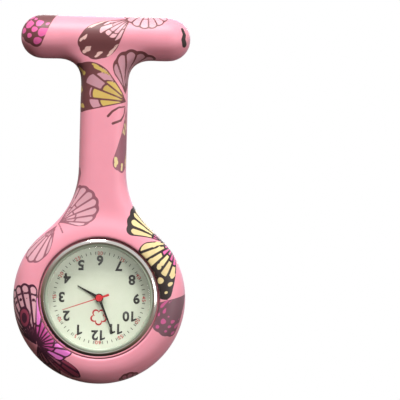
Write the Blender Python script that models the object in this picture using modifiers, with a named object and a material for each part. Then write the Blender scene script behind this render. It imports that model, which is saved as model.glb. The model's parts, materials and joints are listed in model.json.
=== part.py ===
"""Silicone fob watch: a quartz watch head in a one-piece silicone holder with a bar brooch.

Everything is modelled in the dial frame, an empty at the middle of the case back's outer face.
Its X points to the viewer's right, its Y up, and its Z forward out of the dial, so a Z value is
a depth measured forward from the case back. The brooch is on the far side, at negative depths.
The dial hangs upside down for an onlooker, so that the wearer reads it upright: 12 is at -Y.
"""

import math

import bmesh
import bpy
from mathutils import Vector

MM = 0.001
SEAT = 0.05 * MM  # gap left between two pieces that touch
RUN = 0.10 * MM  # gap between two pieces that slide or turn past each other
FACE_STEP = 0.01 * MM  # keeps two joined shapes from sharing one face plane
ROUND_SIDES = 44  # facets of every large round piece, so that nested ones line up

# Silicone holder
BULB_WALL = 6.0 * MM  # silicone outside the bezel
BULB_THICKNESS = 10.8 * MM
FRONT_LIP_WIDTH = 0.6 * MM
BACK_LIP_WIDTH = 0.85 * MM
NECK_WIDTH = 11.0 * MM
NECK_THICKNESS = 8.4 * MM
NECK_EDGE_RADIUS = 3.2 * MM
NECK_FLARE_RADIUS = 18.0 * MM
BAR_DIAMETER = 10.3 * MM
BAR_LENGTH = 39.5 * MM
BAR_HEIGHT = 60.3 * MM  # bar axis above the dial centre
BAR_FILLET_RADIUS = 4.2 * MM
BACK_LIP_PROUD = 2.0 * MM  # how far the holder stands behind the case back
WINDOW_LEDGE = 2.4 * MM  # how far the holder reaches in behind the case

# Watch case
FLANGE_WIDTH = 1.25 * MM
CASE_WALL = 0.8 * MM
CASE_BACK_THICKNESS = 0.7 * MM
CASE_BACK_STEP = 0.15 * MM
CASE_BACK_RIM_THICKNESS = 0.45 * MM
CASE_BACK_RIM_DEPTH = 1.2 * MM
CASE_GASKET_WIDTH = 0.5 * MM
CASE_GASKET_DEPTH = 0.6 * MM
FLANGE_DEPTH = 5.6 * MM
CASE_FRONT_DEPTH = 8.7 * MM
REHAUT_STEP = 0.35 * MM
CRYSTAL_THICKNESS = 1.25 * MM
CRYSTAL_SEAT_DEPTH = 6.6 * MM
CRYSTAL_GASKET_WIDTH = 0.6 * MM
CRYSTAL_GASKET_LEDGE = 0.25 * MM
CRYSTAL_CHAMFER = 0.15 * MM
BEZEL_EDGE_TURN = math.radians(80)

# Dial and hands, each with its depth in front of the case back
DIAL_BACK_DEPTH = 4.4 * MM
DIAL_THICKNESS = 0.4 * MM
HOUR_HAND_DEPTH = 5.05 * MM
MINUTE_HAND_DEPTH = 5.45 * MM
SECOND_HAND_DEPTH = 5.85 * MM
HAND_THICKNESS = 0.12 * MM
HOUR_HAND_LENGTH = 5.7 * MM
MINUTE_HAND_LENGTH = 8.7 * MM
SECOND_HAND_LENGTH = 8.9 * MM
SECOND_HAND_TAIL = 2.4 * MM
HOUR_HAND_WIDTH = 0.75 * MM
MINUTE_HAND_WIDTH = 0.62 * MM
SECOND_HAND_WIDTH = 0.22 * MM
HAND_HUB_RADIUS = 0.87 * MM
SECOND_HUB_RADIUS = 0.78 * MM
HOUR_SHOWN = 3 + 56.2 / 60
MINUTE_SHOWN = 56.2
SECOND_SHOWN = 11.9

# Movement
MOVEMENT_RIM = 0.6 * MM
MOVEMENT_RING_WIDTH = 1.75 * MM
MOVEMENT_RING_DEPTH = 1.95 * MM
PLATE_BACK_DEPTH = 3.35 * MM
PLATE_THICKNESS = 0.5 * MM
PLATE_RIM_WIDTH = 0.9 * MM
BRIDGE_DEPTH = 1.45 * MM
BRIDGE_THICKNESS = 0.45 * MM
WHEEL_THICKNESS = 0.2 * MM
MOTION_WHEEL_THICKNESS = 0.16 * MM
SECOND_ARBOR_RADIUS = 0.13 * MM
CANNON_BORE_RADIUS = 0.20 * MM
CANNON_RADIUS = 0.40 * MM
HOUR_PIPE_BORE_RADIUS = 0.45 * MM
HOUR_PIPE_RADIUS = 0.62 * MM
ARBOR_RADIUS = 0.12 * MM
FOURTH_MODULE = 0.10 * MM
TRAIN_MODULE = 0.08 * MM
MOTION_MODULE = 0.12 * MM
FOURTH_TEETH = 48
THIRD_TEETH = 60
CENTRE_TEETH = 64
INTERMEDIATE_TEETH = 30
PINION_TEETH = 8
ROTOR_TEETH = 6
CANNON_TEETH = 10
MINUTE_TEETH = 30
HOUR_TEETH = 32
THIRD_BEARING = math.radians(120)
INTERMEDIATE_BEARING = math.radians(-30)
MINUTE_WHEEL_BEARING = math.radians(55)
ROTOR_MAGNET_RADIUS = 0.6 * MM
STATOR_BORE_RADIUS = 0.75 * MM
STATOR_RING_RADIUS = 1.2 * MM
STATOR_LEG_WIDTH = 1.0 * MM
STATOR_THICKNESS = 0.25 * MM
STATOR_ELBOW_RISE = 1.6 * MM
COIL_HEIGHT = -6.6 * MM
COIL_SHIFT = -0.2 * MM  # the coil's middle, which clears the stem side
COIL_LENGTH = 8.2 * MM
COIL_RADIUS = 0.75 * MM
CORE_LENGTH = 11.6 * MM
CORE_WIDTH = 0.8 * MM
CORE_THICKNESS = 0.2 * MM
CORE_END_RADIUS = 0.85 * MM
BATTERY_RADIUS = 3.4 * MM
BATTERY_THICKNESS = 2.6 * MM
BATTERY_DEPTH = 1.15 * MM
BATTERY_CAP_STEP = 0.5 * MM
BATTERY_EDGE = 0.2 * MM
BATTERY_BEARING = math.radians(32.4)
CLAMP_WIDTH = 1.6 * MM
CLAMP_THICKNESS = 0.25 * MM
BOARD_TOP = -3.4 * MM
BOARD_DEPTH = 1.6 * MM
BOARD_THICKNESS = 0.25 * MM
QUARTZ_RADIUS = 0.7 * MM
QUARTZ_LENGTH = 5.0 * MM
CHIP_SIZE = 1.6 * MM
CHIP_PLACE = (6.4 * MM, -4.9 * MM)
CHIP_THICKNESS = 0.4 * MM
SCREW_HEAD_RADIUS = 0.55 * MM
SCREW_HEAD_THICKNESS = 0.25 * MM
SCREW_SHANK_RADIUS = 0.28 * MM
SCREW_SLOT_WIDTH = 0.14 * MM
PILLAR_RADIUS = 0.6 * MM
BRIDGE_MARGIN = 0.7 * MM  # bridge metal outside a screw's axis
BRIDGE_WAIST = (1.2 * MM, 1.9 * MM)  # where the bridge narrows beside the battery
BRIDGE_ARM_WIDTH = 1.5 * MM
BRIDGE_SCREW_PLACES = ((-4.5 * MM, 3.9 * MM), (-4.5 * MM, -2.35 * MM), (0.85 * MM, 5.05 * MM))

# Crown and keyless work, on the 3 o'clock side, which is -X on the hanging watch
STEM_DEPTH = 3.3 * MM
STEM_RADIUS = 0.40 * MM
STEM_INNER_END = 4.9 * MM
CROWN_RADIUS = 1.6 * MM
CROWN_LENGTH = 0.9 * MM
CROWN_PROUD = 1.15 * MM
CROWN_WALL = 0.25 * MM
CROWN_TRAVEL = 0.8 * MM
CROWN_FLUTES = 20
TUBE_RADIUS = 0.75 * MM
GASKET_WIDTH = 0.40 * MM
CLUTCH_RADIUS = 0.75 * MM
CLUTCH_LENGTH = 0.8 * MM
CLUTCH_TEETH = 14
LEVER_GROOVE_WIDTH = 0.5 * MM
LEVER_GROOVE_RADIUS = 0.2 * MM
LEVER_PIVOT = (-STEM_INNER_END - 3.2 * MM, 2.0 * MM)
LEVER_PIN_RADIUS = 0.12 * MM
LEVER_PIN_HEIGHT = 0.40 * MM
LEVER_THICKNESS = 0.25 * MM
LEVER_WIDTH = 0.8 * MM

# Brooch
BASE_THICKNESS = 0.6 * MM
BASE_HEIGHT = 4.6 * MM
BASE_LEFT = -13.6 * MM
BASE_RIGHT = 11.1 * MM
BASE_FACE_DEPTH = 0.1 * MM
HOLE_PITCH = 5.9 * MM
HOLE_RADIUS = 1.15 * MM
SLOT_HEIGHT = 5.0 * MM
SLOT_END_MARGIN = 0.6 * MM
PIN_STANDOFF = 4.70 * MM  # cloth gap between the base and the pin
PIN_RADIUS = 0.35 * MM
PIN_TIP_LENGTH = 3.0 * MM
PIN_TIP_PROUD = 0.9 * MM  # how far the point passes the catch
HINGE_X = -12.6 * MM
CATCH_X = 10.3 * MM
EAR_THICKNESS = 0.5 * MM
EAR_RADIUS = 1.2 * MM
EYE_THICKNESS = 1.4 * MM
HINGE_RIVET_RADIUS = 0.45 * MM
HINGE_RIVET_HEAD_RADIUS = 0.8 * MM
CATCH_RADIUS = 1.85 * MM
CATCH_LENGTH = 2.2 * MM
CATCH_FOOT_WIDTH = 1.5 * MM
ROLLER_RADIUS = 1.35 * MM
BASE_RIVET_LENGTH = 3.0 * MM
BASE_RIVET_BORE_RADIUS = 0.55 * MM
BASE_RIVET_FLANGE_RADIUS = 1.45 * MM
BASE_RIVET_EDGE = 0.1 * MM
BASE_RIVET_DOME = 0.35 * MM
HINGE_RIVET_HEAD = 0.3 * MM

# Worked out from the sizes above
FOURTH_TIP_RADIUS = FOURTH_TEETH * FOURTH_MODULE / 2 + FOURTH_MODULE
BATTERY_REACH = FOURTH_TIP_RADIUS + BATTERY_RADIUS + 3 * RUN  # as close in as its hole allows
MOVEMENT_RADIUS = BATTERY_REACH + BATTERY_RADIUS + MOVEMENT_RIM
CASE_BORE_RADIUS = MOVEMENT_RADIUS + MOVEMENT_RING_WIDTH
CASE_RADIUS = CASE_BORE_RADIUS + CASE_WALL
FLANGE_RADIUS = CASE_RADIUS + FLANGE_WIDTH
REHAUT_RADIUS = CASE_BORE_RADIUS - REHAUT_STEP
CRYSTAL_RADIUS = CASE_BORE_RADIUS - 2 * SEAT
BEZEL_BORE_RADIUS = CRYSTAL_RADIUS + CRYSTAL_GASKET_WIDTH + 2 * SEAT
BACK_WINDOW_RADIUS = CASE_RADIUS - WINDOW_LEDGE
BULB_RADIUS = FLANGE_RADIUS + BULB_WALL
BULB_FRONT_FLAT_RADIUS = FLANGE_RADIUS + FRONT_LIP_WIDTH
BULB_BACK_FLAT_RADIUS = BACK_WINDOW_RADIUS + BACK_LIP_WIDTH
CROWN_OUTER_END = CASE_RADIUS + CROWN_PROUD
HOLDER_BACK_DEPTH = -BACK_LIP_PROUD
HOLDER_MID_DEPTH = HOLDER_BACK_DEPTH + BULB_THICKNESS / 2
HOLDER_FRONT_DEPTH = HOLDER_BACK_DEPTH + BULB_THICKNESS
DIAL_FRONT_DEPTH = DIAL_BACK_DEPTH + DIAL_THICKNESS
DIAL_RADIUS = CASE_BORE_RADIUS - SEAT
PLATE_FRONT_DEPTH = PLATE_BACK_DEPTH + PLATE_THICKNESS
BRIDGE_FRONT_DEPTH = BRIDGE_DEPTH + BRIDGE_THICKNESS
MINUTE_LEVEL = PLATE_FRONT_DEPTH + RUN
HOUR_LEVEL = MINUTE_LEVEL + MOTION_WHEEL_THICKNESS + SEAT
FOURTH_LEVEL = BRIDGE_FRONT_DEPTH + 0.15 * MM
THIRD_LEVEL = FOURTH_LEVEL + WHEEL_THICKNESS + 2 * RUN
CENTRE_LEVEL = THIRD_LEVEL + WHEEL_THICKNESS + 3 * RUN
PIN_DEPTH = BASE_FACE_DEPTH - PIN_STANDOFF - PIN_RADIUS
CROWN_INNER_END = CROWN_OUTER_END - CROWN_LENGTH

PARTS = "fob_watch"
CUTTERS = "cutters"


def start_scene():
    """Empty the scene and make the two collections and the dial frame."""
    for old in list(bpy.data.objects):
        bpy.data.objects.remove(old, do_unlink=True)
    for name in (PARTS, CUTTERS):
        collection = bpy.data.collections.new(name)
        bpy.context.scene.collection.children.link(collection)
    frame = bpy.data.objects.new("dial_frame", None)
    frame.rotation_euler = (math.pi / 2, 0, 0)
    bpy.data.collections[PARTS].objects.link(frame)
    return frame


def place(obj, name, collection):
    """Name an object, hang it on the dial frame and move it to one collection."""
    obj.name = name
    obj.parent = bpy.data.objects["dial_frame"]
    for owner in list(obj.users_collection):
        owner.objects.unlink(obj)
    bpy.data.collections[collection].objects.link(obj)
    return obj


def paint(obj, colour, roughness, metallic=0.0):
    """Give a piece its own Principled material."""
    material = bpy.data.materials.new(obj.name)
    material.use_nodes = True
    shader = material.node_tree.nodes["Principled BSDF"]
    shader.inputs["Base Color"].default_value = (*colour, 1.0)
    shader.inputs["Roughness"].default_value = roughness
    shader.inputs["Metallic"].default_value = metallic
    material.diffuse_color = (*colour, 1.0)
    obj.data.materials.clear()
    obj.data.materials.append(material)
    return obj


def smooth(obj):
    """Shade a round piece smooth, with its sharp corners kept."""
    for face in obj.data.polygons:
        face.use_smooth = True
    obj.data.set_sharp_from_angle(angle=math.radians(35))
    return obj


def rod(name, radius, start, end, sides=24, collection=CUTTERS):
    """A cylinder between two points."""
    start, end = Vector(start), Vector(end)
    along = end - start
    bpy.ops.mesh.primitive_cylinder_add(
        vertices=sides,
        radius=radius,
        depth=along.length,
        location=(start + end) / 2,
        rotation=along.to_track_quat("Z", "Y").to_euler(),
    )
    return place(bpy.context.object, name, collection)


def disc(name, radius, near, far, at=(0, 0), sides=24, collection=CUTTERS):
    """A cylinder along the dial axis, from one depth to another."""
    return rod(name, radius, (*at, near), (*at, far), sides, collection)


def block(name, low, high, turn=0.0, collection=CUTTERS):
    """A box from its low corner to its high corner, turned about the dial axis."""
    low, high = Vector(low), Vector(high)
    bpy.ops.mesh.primitive_cube_add(size=1, location=(low + high) / 2, rotation=(0, 0, turn))
    obj = bpy.context.object
    obj.scale = high - low
    bpy.ops.object.transform_apply(location=False, rotation=False, scale=True)
    return place(obj, name, collection)


def strip(name, start, end, width, near, far, collection=CUTTERS):
    """A flat bar between two points of the dial plane."""
    start, end = Vector(start), Vector(end)
    run = end - start
    middle = (start + end) / 2
    half = Vector((run.length / 2, width / 2))
    turn = math.atan2(run.y, run.x)
    low = (middle.x - half.x, middle.y - half.y, near)
    high = (middle.x + half.x, middle.y + half.y, far)
    return block(name, low, high, turn, collection)


def turned(name, profile, steps=ROUND_SIDES, collection=PARTS):
    """A profile of (radius, depth) points spun about the dial axis."""
    area = sum(a[0] * b[1] - b[0] * a[1] for a, b in zip(profile, profile[1:] + profile[:1]))
    points = profile[::-1] if area > 0 else profile
    on_axis = [i for i, point in enumerate(points) if point[0] == 0]
    edges = [(i, (i + 1) % len(points)) for i in range(len(points))]
    edges = [edge for edge in edges if not (edge[0] in on_axis and edge[1] in on_axis)]
    mesh = bpy.data.meshes.new(name)
    mesh.from_pydata([(radius, 0, depth) for radius, depth in points], edges, [])
    obj = bpy.data.objects.new(name, mesh)
    bpy.data.collections[collection].objects.link(obj)
    spin = obj.modifiers.new("spin", "SCREW")
    spin.axis = "Z"
    spin.steps = steps
    spin.render_steps = steps
    spin.use_merge_vertices = True
    spin.merge_threshold = 1e-6
    spin.use_smooth_shade = True
    return place(obj, name, collection)


def as_mesh(obj, name, collection):
    """Turn a curve object into a closed mesh object in the same place."""
    bpy.context.view_layer.update()
    evaluated = obj.evaluated_get(bpy.context.evaluated_depsgraph_get())
    mesh = bpy.data.meshes.new_from_object(evaluated)
    shell = bmesh.new()
    shell.from_mesh(mesh)
    bmesh.ops.remove_doubles(shell, verts=shell.verts, dist=1e-7)
    bmesh.ops.recalc_face_normals(shell, faces=shell.faces)
    shell.to_mesh(mesh)
    shell.free()
    solid = bpy.data.objects.new(name, mesh)
    bpy.data.collections[collection].objects.link(solid)
    location = obj.location.copy()
    bpy.data.objects.remove(obj, do_unlink=True)
    place(solid, name, collection)
    solid.location = location
    return solid


def plate(name, outlines, near, far, at=(0, 0), edge=0.0, collection=PARTS):
    """A flat outline, with any holes after it, given a thickness and a round edge."""
    curve = bpy.data.curves.new(name, "CURVE")
    curve.dimensions = "2D"
    curve.fill_mode = "BOTH"
    curve.extrude = (far - near) / 2 - edge
    curve.bevel_depth = edge
    curve.bevel_resolution = 2
    for outline in outlines:
        spline = curve.splines.new("POLY")
        spline.points.add(len(outline) - 1)
        for point, (x, y) in zip(spline.points, outline):
            point.co = (x, y, 0, 1)
        spline.use_cyclic_u = True
    obj = bpy.data.objects.new(name, curve)
    bpy.data.collections[collection].objects.link(obj)
    obj.location = (*at, (near + far) / 2)
    return as_mesh(obj, name, collection)


def combine(base, operation, *tools):
    """Join tools to a piece, or cut them out of it."""
    for tool in tools:
        step = base.modifiers.new(tool.name, "BOOLEAN")
        step.object = tool
        step.operation = operation
        step.solver = "EXACT"
        tool.hide_render = True
        tool.display_type = "WIRE"
    return base


def join(base, *tools):
    return combine(base, "UNION", *tools)


def cut(base, *tools):
    return combine(base, "DIFFERENCE", *tools)


def arc(centre, radius, start, end, count=8):
    """Points along an arc, with both its ends."""
    angles = [start + (end - start) * i / count for i in range(count + 1)]
    return [(centre[0] + radius * math.cos(a), centre[1] + radius * math.sin(a)) for a in angles]


def circle(radius, count=32):
    return arc((0, 0), radius, 0, math.tau * (count - 1) / count, count - 1)


def gear(teeth, module, bearing, gap_first=False):
    """A tooth outline with a tooth, or a gap, at a bearing; a pinion's teeth are flat-topped."""
    radius = teeth * module / 2
    tip, root = radius + 0.8 * module, radius - 1.1 * module
    pitch = math.tau / teeth
    first = bearing + (pitch / 2 if gap_first else 0)
    pointed = ((tip, 0), (root, 0.5))
    flat_topped = ((root, -0.29), (tip, -0.11), (tip, 0.11), (root, 0.29))
    corners = flat_topped if teeth < 15 else pointed
    return [polar(r, first + pitch * (i + share)) for i in range(teeth) for r, share in corners]


def polar(distance, bearing, start=(0, 0)):
    return (start[0] + distance * math.cos(bearing), start[1] + distance * math.sin(bearing))


def mesh_distance(module, teeth_a, teeth_b):
    """Distance between the axes of two wheels that mesh."""
    return module * (teeth_a + teeth_b) / 2


# ---------------------------------------------------------------- silicone holder


def round_side(flat_radius, facing, count=5):
    """Half of the bulb's rounded edge, from its flat face out to its rim."""
    points = []
    for i in range(count + 1):
        t = math.pi / 2 * (1 - i / count)
        reach = math.cos(t) ** 0.85 if i else 0.0
        rise = math.sin(t) ** 0.85 if i < count else 0.0
        radius = flat_radius + (BULB_RADIUS - flat_radius) * reach
        points.append((radius, HOLDER_MID_DEPTH + facing * BULB_THICKNESS / 2 * rise))
    return points


def neck_outline(inset):
    """Right and left sides of the neck, flared into the bulb and filleted under the bar."""
    half = NECK_WIDTH / 2
    bar_foot = BAR_HEIGHT - BAR_DIAMETER / 2
    fillet = (half + BAR_FILLET_RADIUS, bar_foot - BAR_FILLET_RADIUS)
    reach = BULB_RADIUS + NECK_FLARE_RADIUS
    flare = (half + NECK_FLARE_RADIUS, math.sqrt(reach**2 - (half + NECK_FLARE_RADIUS) ** 2))
    toward_dial = math.atan2(flare[1], flare[0]) + math.pi
    right = [(fillet[0], BAR_HEIGHT)]
    right += arc(fillet, BAR_FILLET_RADIUS + inset, math.pi / 2, math.pi, 5)
    right += arc(flare, NECK_FLARE_RADIUS + inset, math.pi, toward_dial, 6)
    right.append((right[-1][0], BULB_RADIUS / 2))
    return right + [(-x, y) for x, y in reversed(right)]


def silicone_holder():
    profile = [(0, HOLDER_FRONT_DEPTH)] + round_side(BULB_FRONT_FLAT_RADIUS, 1)
    profile += round_side(BULB_BACK_FLAT_RADIUS, -1)[-2::-1] + [(0, HOLDER_BACK_DEPTH)]
    holder = turned("silicone_holder", profile)
    mid = HOLDER_MID_DEPTH
    near, far = mid - NECK_THICKNESS / 2, mid + NECK_THICKNESS / 2
    neck = plate(
        "neck", [neck_outline(NECK_EDGE_RADIUS)], near, far, edge=NECK_EDGE_RADIUS, collection=CUTTERS
    )
    radius = BAR_DIAMETER / 2
    half = BAR_LENGTH / 2 - radius
    quarter = arc((0, half), radius, 0, math.pi / 2, 5)[:-1] + [(0, half + radius)]
    bar = turned("bar", quarter + [(x, -y) for x, y in reversed(quarter)], 20, CUTTERS)
    bar.rotation_euler = (0, math.pi / 2, 0)
    bar.location = (0, BAR_HEIGHT, mid)
    join(holder, neck, bar)
    cut(holder, *head_pocket(), *brooch_slot())
    smooth(holder)
    return paint(holder, (0.86, 0.40, 0.48), 0.55)


def head_pocket():
    """The pocket for the watch head, its back window and the notch for the crown."""
    floor = CASE_BACK_STEP - RUN
    front = HOLDER_FRONT_DEPTH + 1 * MM
    bore = disc("head_bore", CASE_RADIUS + RUN, floor, front, sides=ROUND_SIDES)
    step = disc("bezel_bore", FLANGE_RADIUS + SEAT, FLANGE_DEPTH - RUN, front, sides=ROUND_SIDES)
    back = HOLDER_BACK_DEPTH - 1 * MM
    window = disc("back_window", BACK_WINDOW_RADIUS, back, floor + RUN, sides=ROUND_SIDES)
    reach = CROWN_OUTER_END + CROWN_TRAVEL + 2 * RUN
    half = CROWN_RADIUS + 3 * RUN
    low = (-reach, -half, STEM_DEPTH - half)
    high = (-CASE_RADIUS / 2, half, FLANGE_DEPTH)
    return bore, step, window, block("crown_notch", low, high)


def brooch_slot():
    """The long slot for the brooch base, and blind holes: one past its end, one behind each of its own."""
    back = HOLDER_MID_DEPTH - BAR_DIAMETER
    floor = BASE_FACE_DEPTH + BASE_THICKNESS + SEAT
    margin = SLOT_END_MARGIN
    low = (BASE_LEFT - margin, BAR_HEIGHT - SLOT_HEIGHT / 2, back)
    high = (BASE_RIGHT + margin, BAR_HEIGHT + SLOT_HEIGHT / 2, floor)
    pieces = [block("slot", low, high)]
    for i in (-1, 0, 1, 2):
        at = (i * HOLE_PITCH, BAR_HEIGHT)
        pieces.append(disc("slot_hole", HOLE_RADIUS + SEAT, back, floor + BASE_RIVET_LENGTH, at, 16))
    return pieces


# ---------------------------------------------------------------- brooch


def brooch_base():
    height = BAR_HEIGHT
    face = BASE_FACE_DEPTH
    low = (BASE_LEFT, height - BASE_HEIGHT / 2, face)
    high = (BASE_RIGHT, height + BASE_HEIGHT / 2, face + BASE_THICKNESS)
    base = block("brooch_base", low, high, collection=PARTS)
    sunk = face + BASE_THICKNESS / 2
    for side in (-1, 1):
        inner = side * (EYE_THICKNESS / 2 + RUN)
        outer = inner + side * EAR_THICKNESS
        ends = sorted((height + inner, height + outer))
        web = EAR_RADIUS - FACE_STEP
        low = (HINGE_X - web, ends[0] + FACE_STEP, PIN_DEPTH)
        high = (HINGE_X + web, ends[1] - FACE_STEP, sunk)
        start, end = (HINGE_X, ends[0], PIN_DEPTH), (HINGE_X, ends[1], PIN_DEPTH)
        join(base, block("ear_web", low, high), rod("ear_round", EAR_RADIUS, start, end))
    half = CATCH_LENGTH / 2
    ring_start, ring_end = (CATCH_X - half, height, PIN_DEPTH), (CATCH_X + half, height, PIN_DEPTH)
    foot = CATCH_FOOT_WIDTH / 2
    foot_low = (CATCH_X - foot, height - foot, PIN_DEPTH + ROLLER_RADIUS + 2 * RUN)
    foot_high = (CATCH_X + foot, height + foot, sunk)
    join(base, rod("catch_ring", CATCH_RADIUS, ring_start, ring_end, 28))
    join(base, block("catch_foot", foot_low, foot_high))
    bore_start = (CATCH_X - CATCH_LENGTH, height, PIN_DEPTH)
    bore_end = (CATCH_X + CATCH_LENGTH, height, PIN_DEPTH)
    mouth = PIN_RADIUS + 2 * RUN
    mouth_low = (CATCH_X - CATCH_LENGTH, height - mouth, PIN_DEPTH - 2 * CATCH_RADIUS)
    mouth_high = (CATCH_X + CATCH_LENGTH, height + mouth, PIN_DEPTH)
    cut(base, rod("catch_bore", ROLLER_RADIUS + SEAT, bore_start, bore_end, 28))
    cut(base, block("catch_mouth", mouth_low, mouth_high))
    ear_reach = EYE_THICKNESS / 2 + EAR_THICKNESS + RUN
    ear_start = (HINGE_X, height - 2 * ear_reach, PIN_DEPTH)
    ear_end = (HINGE_X, height + 2 * ear_reach, PIN_DEPTH)
    cut(base, rod("ear_bore", HINGE_RIVET_RADIUS + SEAT, ear_start, ear_end))
    for i in (-1, 0, 1):
        at = (i * HOLE_PITCH, height)
        cut(base, disc("base_hole", HOLE_RADIUS, face - 1 * MM, face + 2 * BASE_THICKNESS, at, 20))
    return paint(base, (0.62, 0.61, 0.58), 0.35, 1.0)


def brooch_pin():
    """A pin wire with a flat eye that turns on the hinge rivet."""
    height = BAR_HEIGHT
    start = (HINGE_X, height - EYE_THICKNESS / 2, PIN_DEPTH)
    end = (HINGE_X, height + EYE_THICKNESS / 2, PIN_DEPTH)
    pin = rod("brooch_pin", EAR_RADIUS - 2 * RUN, start, end, collection=PARTS)
    tip_end = CATCH_X + CATCH_LENGTH / 2 + PIN_TIP_PROUD
    wire_start = (HINGE_X, height, PIN_DEPTH)
    wire_end = (tip_end - PIN_TIP_LENGTH, height, PIN_DEPTH)
    wire = rod("pin_wire", PIN_RADIUS, wire_start, wire_end, 12)
    bpy.ops.mesh.primitive_cone_add(
        vertices=12,
        radius1=PIN_RADIUS,
        radius2=PIN_RADIUS / 8,
        depth=PIN_TIP_LENGTH + RUN,
        location=(tip_end - PIN_TIP_LENGTH / 2 - RUN / 2, height, PIN_DEPTH),
        rotation=(0, math.pi / 2, 0),
    )
    tip = place(bpy.context.object, "pin_tip", CUTTERS)
    join(pin, wire, tip)
    bore_start = (HINGE_X, height - EYE_THICKNESS, PIN_DEPTH)
    bore_end = (HINGE_X, height + EYE_THICKNESS, PIN_DEPTH)
    cut(pin, rod("eye_bore", HINGE_RIVET_RADIUS + SEAT, bore_start, bore_end))
    return paint(pin, (0.70, 0.70, 0.68), 0.25, 1.0)


def hinge_rivet():
    reach = EYE_THICKNESS / 2 + RUN + EAR_THICKNESS + SEAT
    head = HINGE_RIVET_HEAD
    low = (HINGE_X, BAR_HEIGHT - reach - head, PIN_DEPTH)
    high = (HINGE_X, BAR_HEIGHT + reach + head, PIN_DEPTH)
    rivet = rod("hinge_rivet", HINGE_RIVET_RADIUS, low, high, collection=PARTS)
    for side in (-1, 1):
        start = (HINGE_X, BAR_HEIGHT + side * reach, PIN_DEPTH)
        end = (HINGE_X, BAR_HEIGHT + side * (reach + head), PIN_DEPTH)
        join(rivet, rod("rivet_head", HINGE_RIVET_HEAD_RADIUS, start, end))
    return paint(rivet, (0.55, 0.54, 0.52), 0.3, 1.0)


def safety_roller():
    """The split roller that turns in the catch to lock the pin, with a thumb tab."""
    half = CATCH_LENGTH / 2
    height = BAR_HEIGHT
    start, end = (CATCH_X - half, height, PIN_DEPTH), (CATCH_X + half, height, PIN_DEPTH)
    roller = rod("safety_roller", ROLLER_RADIUS, start, end, 28, PARTS)
    flange_start = (CATCH_X + half + RUN, height, PIN_DEPTH)
    flange_end = (CATCH_X + half + 4 * RUN, height, PIN_DEPTH)
    neck_start = (CATCH_X, height, PIN_DEPTH)
    join(roller, rod("roller_neck", ROLLER_RADIUS, neck_start, flange_end, 28))
    join(roller, rod("roller_flange", CATCH_RADIUS, flange_start, flange_end, 28))
    slot = PIN_RADIUS + RUN
    low = (CATCH_X - 2 * half, height - slot, PIN_DEPTH - 2 * CATCH_RADIUS)
    high = (CATCH_X + 2 * half, height + slot, PIN_DEPTH)
    bore_start = (CATCH_X - 2 * half, height, PIN_DEPTH)
    bore_end = (CATCH_X + 2 * half, height, PIN_DEPTH)
    cut(roller, block("roller_slot", low, high), rod("roller_bore", slot, bore_start, bore_end, 20))
    return paint(roller, (0.75, 0.75, 0.73), 0.2, 1.0)


def base_rivet(name, side):
    """A dark tubular rivet through the base into the silicone."""
    face = BASE_FACE_DEPTH
    shank = HOLE_RADIUS - SEAT
    inner = BASE_RIVET_BORE_RADIUS
    flange = face - SEAT
    profile = [
        (inner, flange - BASE_RIVET_DOME + BASE_RIVET_EDGE),
        (shank, flange - BASE_RIVET_DOME),
        (BASE_RIVET_FLANGE_RADIUS, flange - BASE_RIVET_EDGE),
        (BASE_RIVET_FLANGE_RADIUS, flange),
        (shank, flange),
        (shank, face + BASE_RIVET_LENGTH),
        (inner, face + BASE_RIVET_LENGTH),
    ]
    rivet = turned(name, profile, 20)
    rivet.location = (side * HOLE_PITCH, BAR_HEIGHT, 0)
    return paint(rivet, (0.03, 0.035, 0.06), 0.2)


# ---------------------------------------------------------------- case


def case_body():
    front = CASE_FRONT_DEPTH
    shoulder = min(FLANGE_RADIUS - BEZEL_BORE_RADIUS, front - FLANGE_DEPTH - 4 * RUN)
    centre = (FLANGE_RADIUS - shoulder, front - shoulder)
    crown_of_ring = arc(centre, shoulder, 0, BEZEL_EDGE_TURN, 5)
    profile = [
        (CASE_BORE_RADIUS, CASE_BACK_THICKNESS + SEAT),
        (CASE_RADIUS, CASE_BACK_THICKNESS + SEAT),
        (CASE_RADIUS, FLANGE_DEPTH),
        (FLANGE_RADIUS - 2 * RUN, FLANGE_DEPTH),
        (FLANGE_RADIUS, FLANGE_DEPTH + 2 * RUN),
        *crown_of_ring,
        (BEZEL_BORE_RADIUS, front - RUN),
        (BEZEL_BORE_RADIUS, CRYSTAL_SEAT_DEPTH),
        (REHAUT_RADIUS, CRYSTAL_SEAT_DEPTH),
        (REHAUT_RADIUS, DIAL_FRONT_DEPTH + SEAT),
        (CASE_BORE_RADIUS, DIAL_FRONT_DEPTH + SEAT),
    ]
    body = turned("case_body", profile)
    start = (-CASE_BORE_RADIUS + 1 * MM, 0, STEM_DEPTH)
    end = (-CASE_RADIUS - 1 * MM, 0, STEM_DEPTH)
    cut(body, rod("tube_bore", TUBE_RADIUS + SEAT, start, end, 20))
    return paint(body, (0.80, 0.80, 0.79), 0.12, 1.0)


def crystal():
    near = CRYSTAL_SEAT_DEPTH + CRYSTAL_GASKET_LEDGE + 2 * SEAT
    far = near + CRYSTAL_THICKNESS
    profile = [
        (0, near),
        (CRYSTAL_RADIUS, near),
        (CRYSTAL_RADIUS, far - CRYSTAL_CHAMFER),
        (CRYSTAL_RADIUS - CRYSTAL_CHAMFER, far),
        (0, far),
    ]
    return paint(turned("crystal", profile), (0.93, 0.96, 0.97), 0.03)


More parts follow.
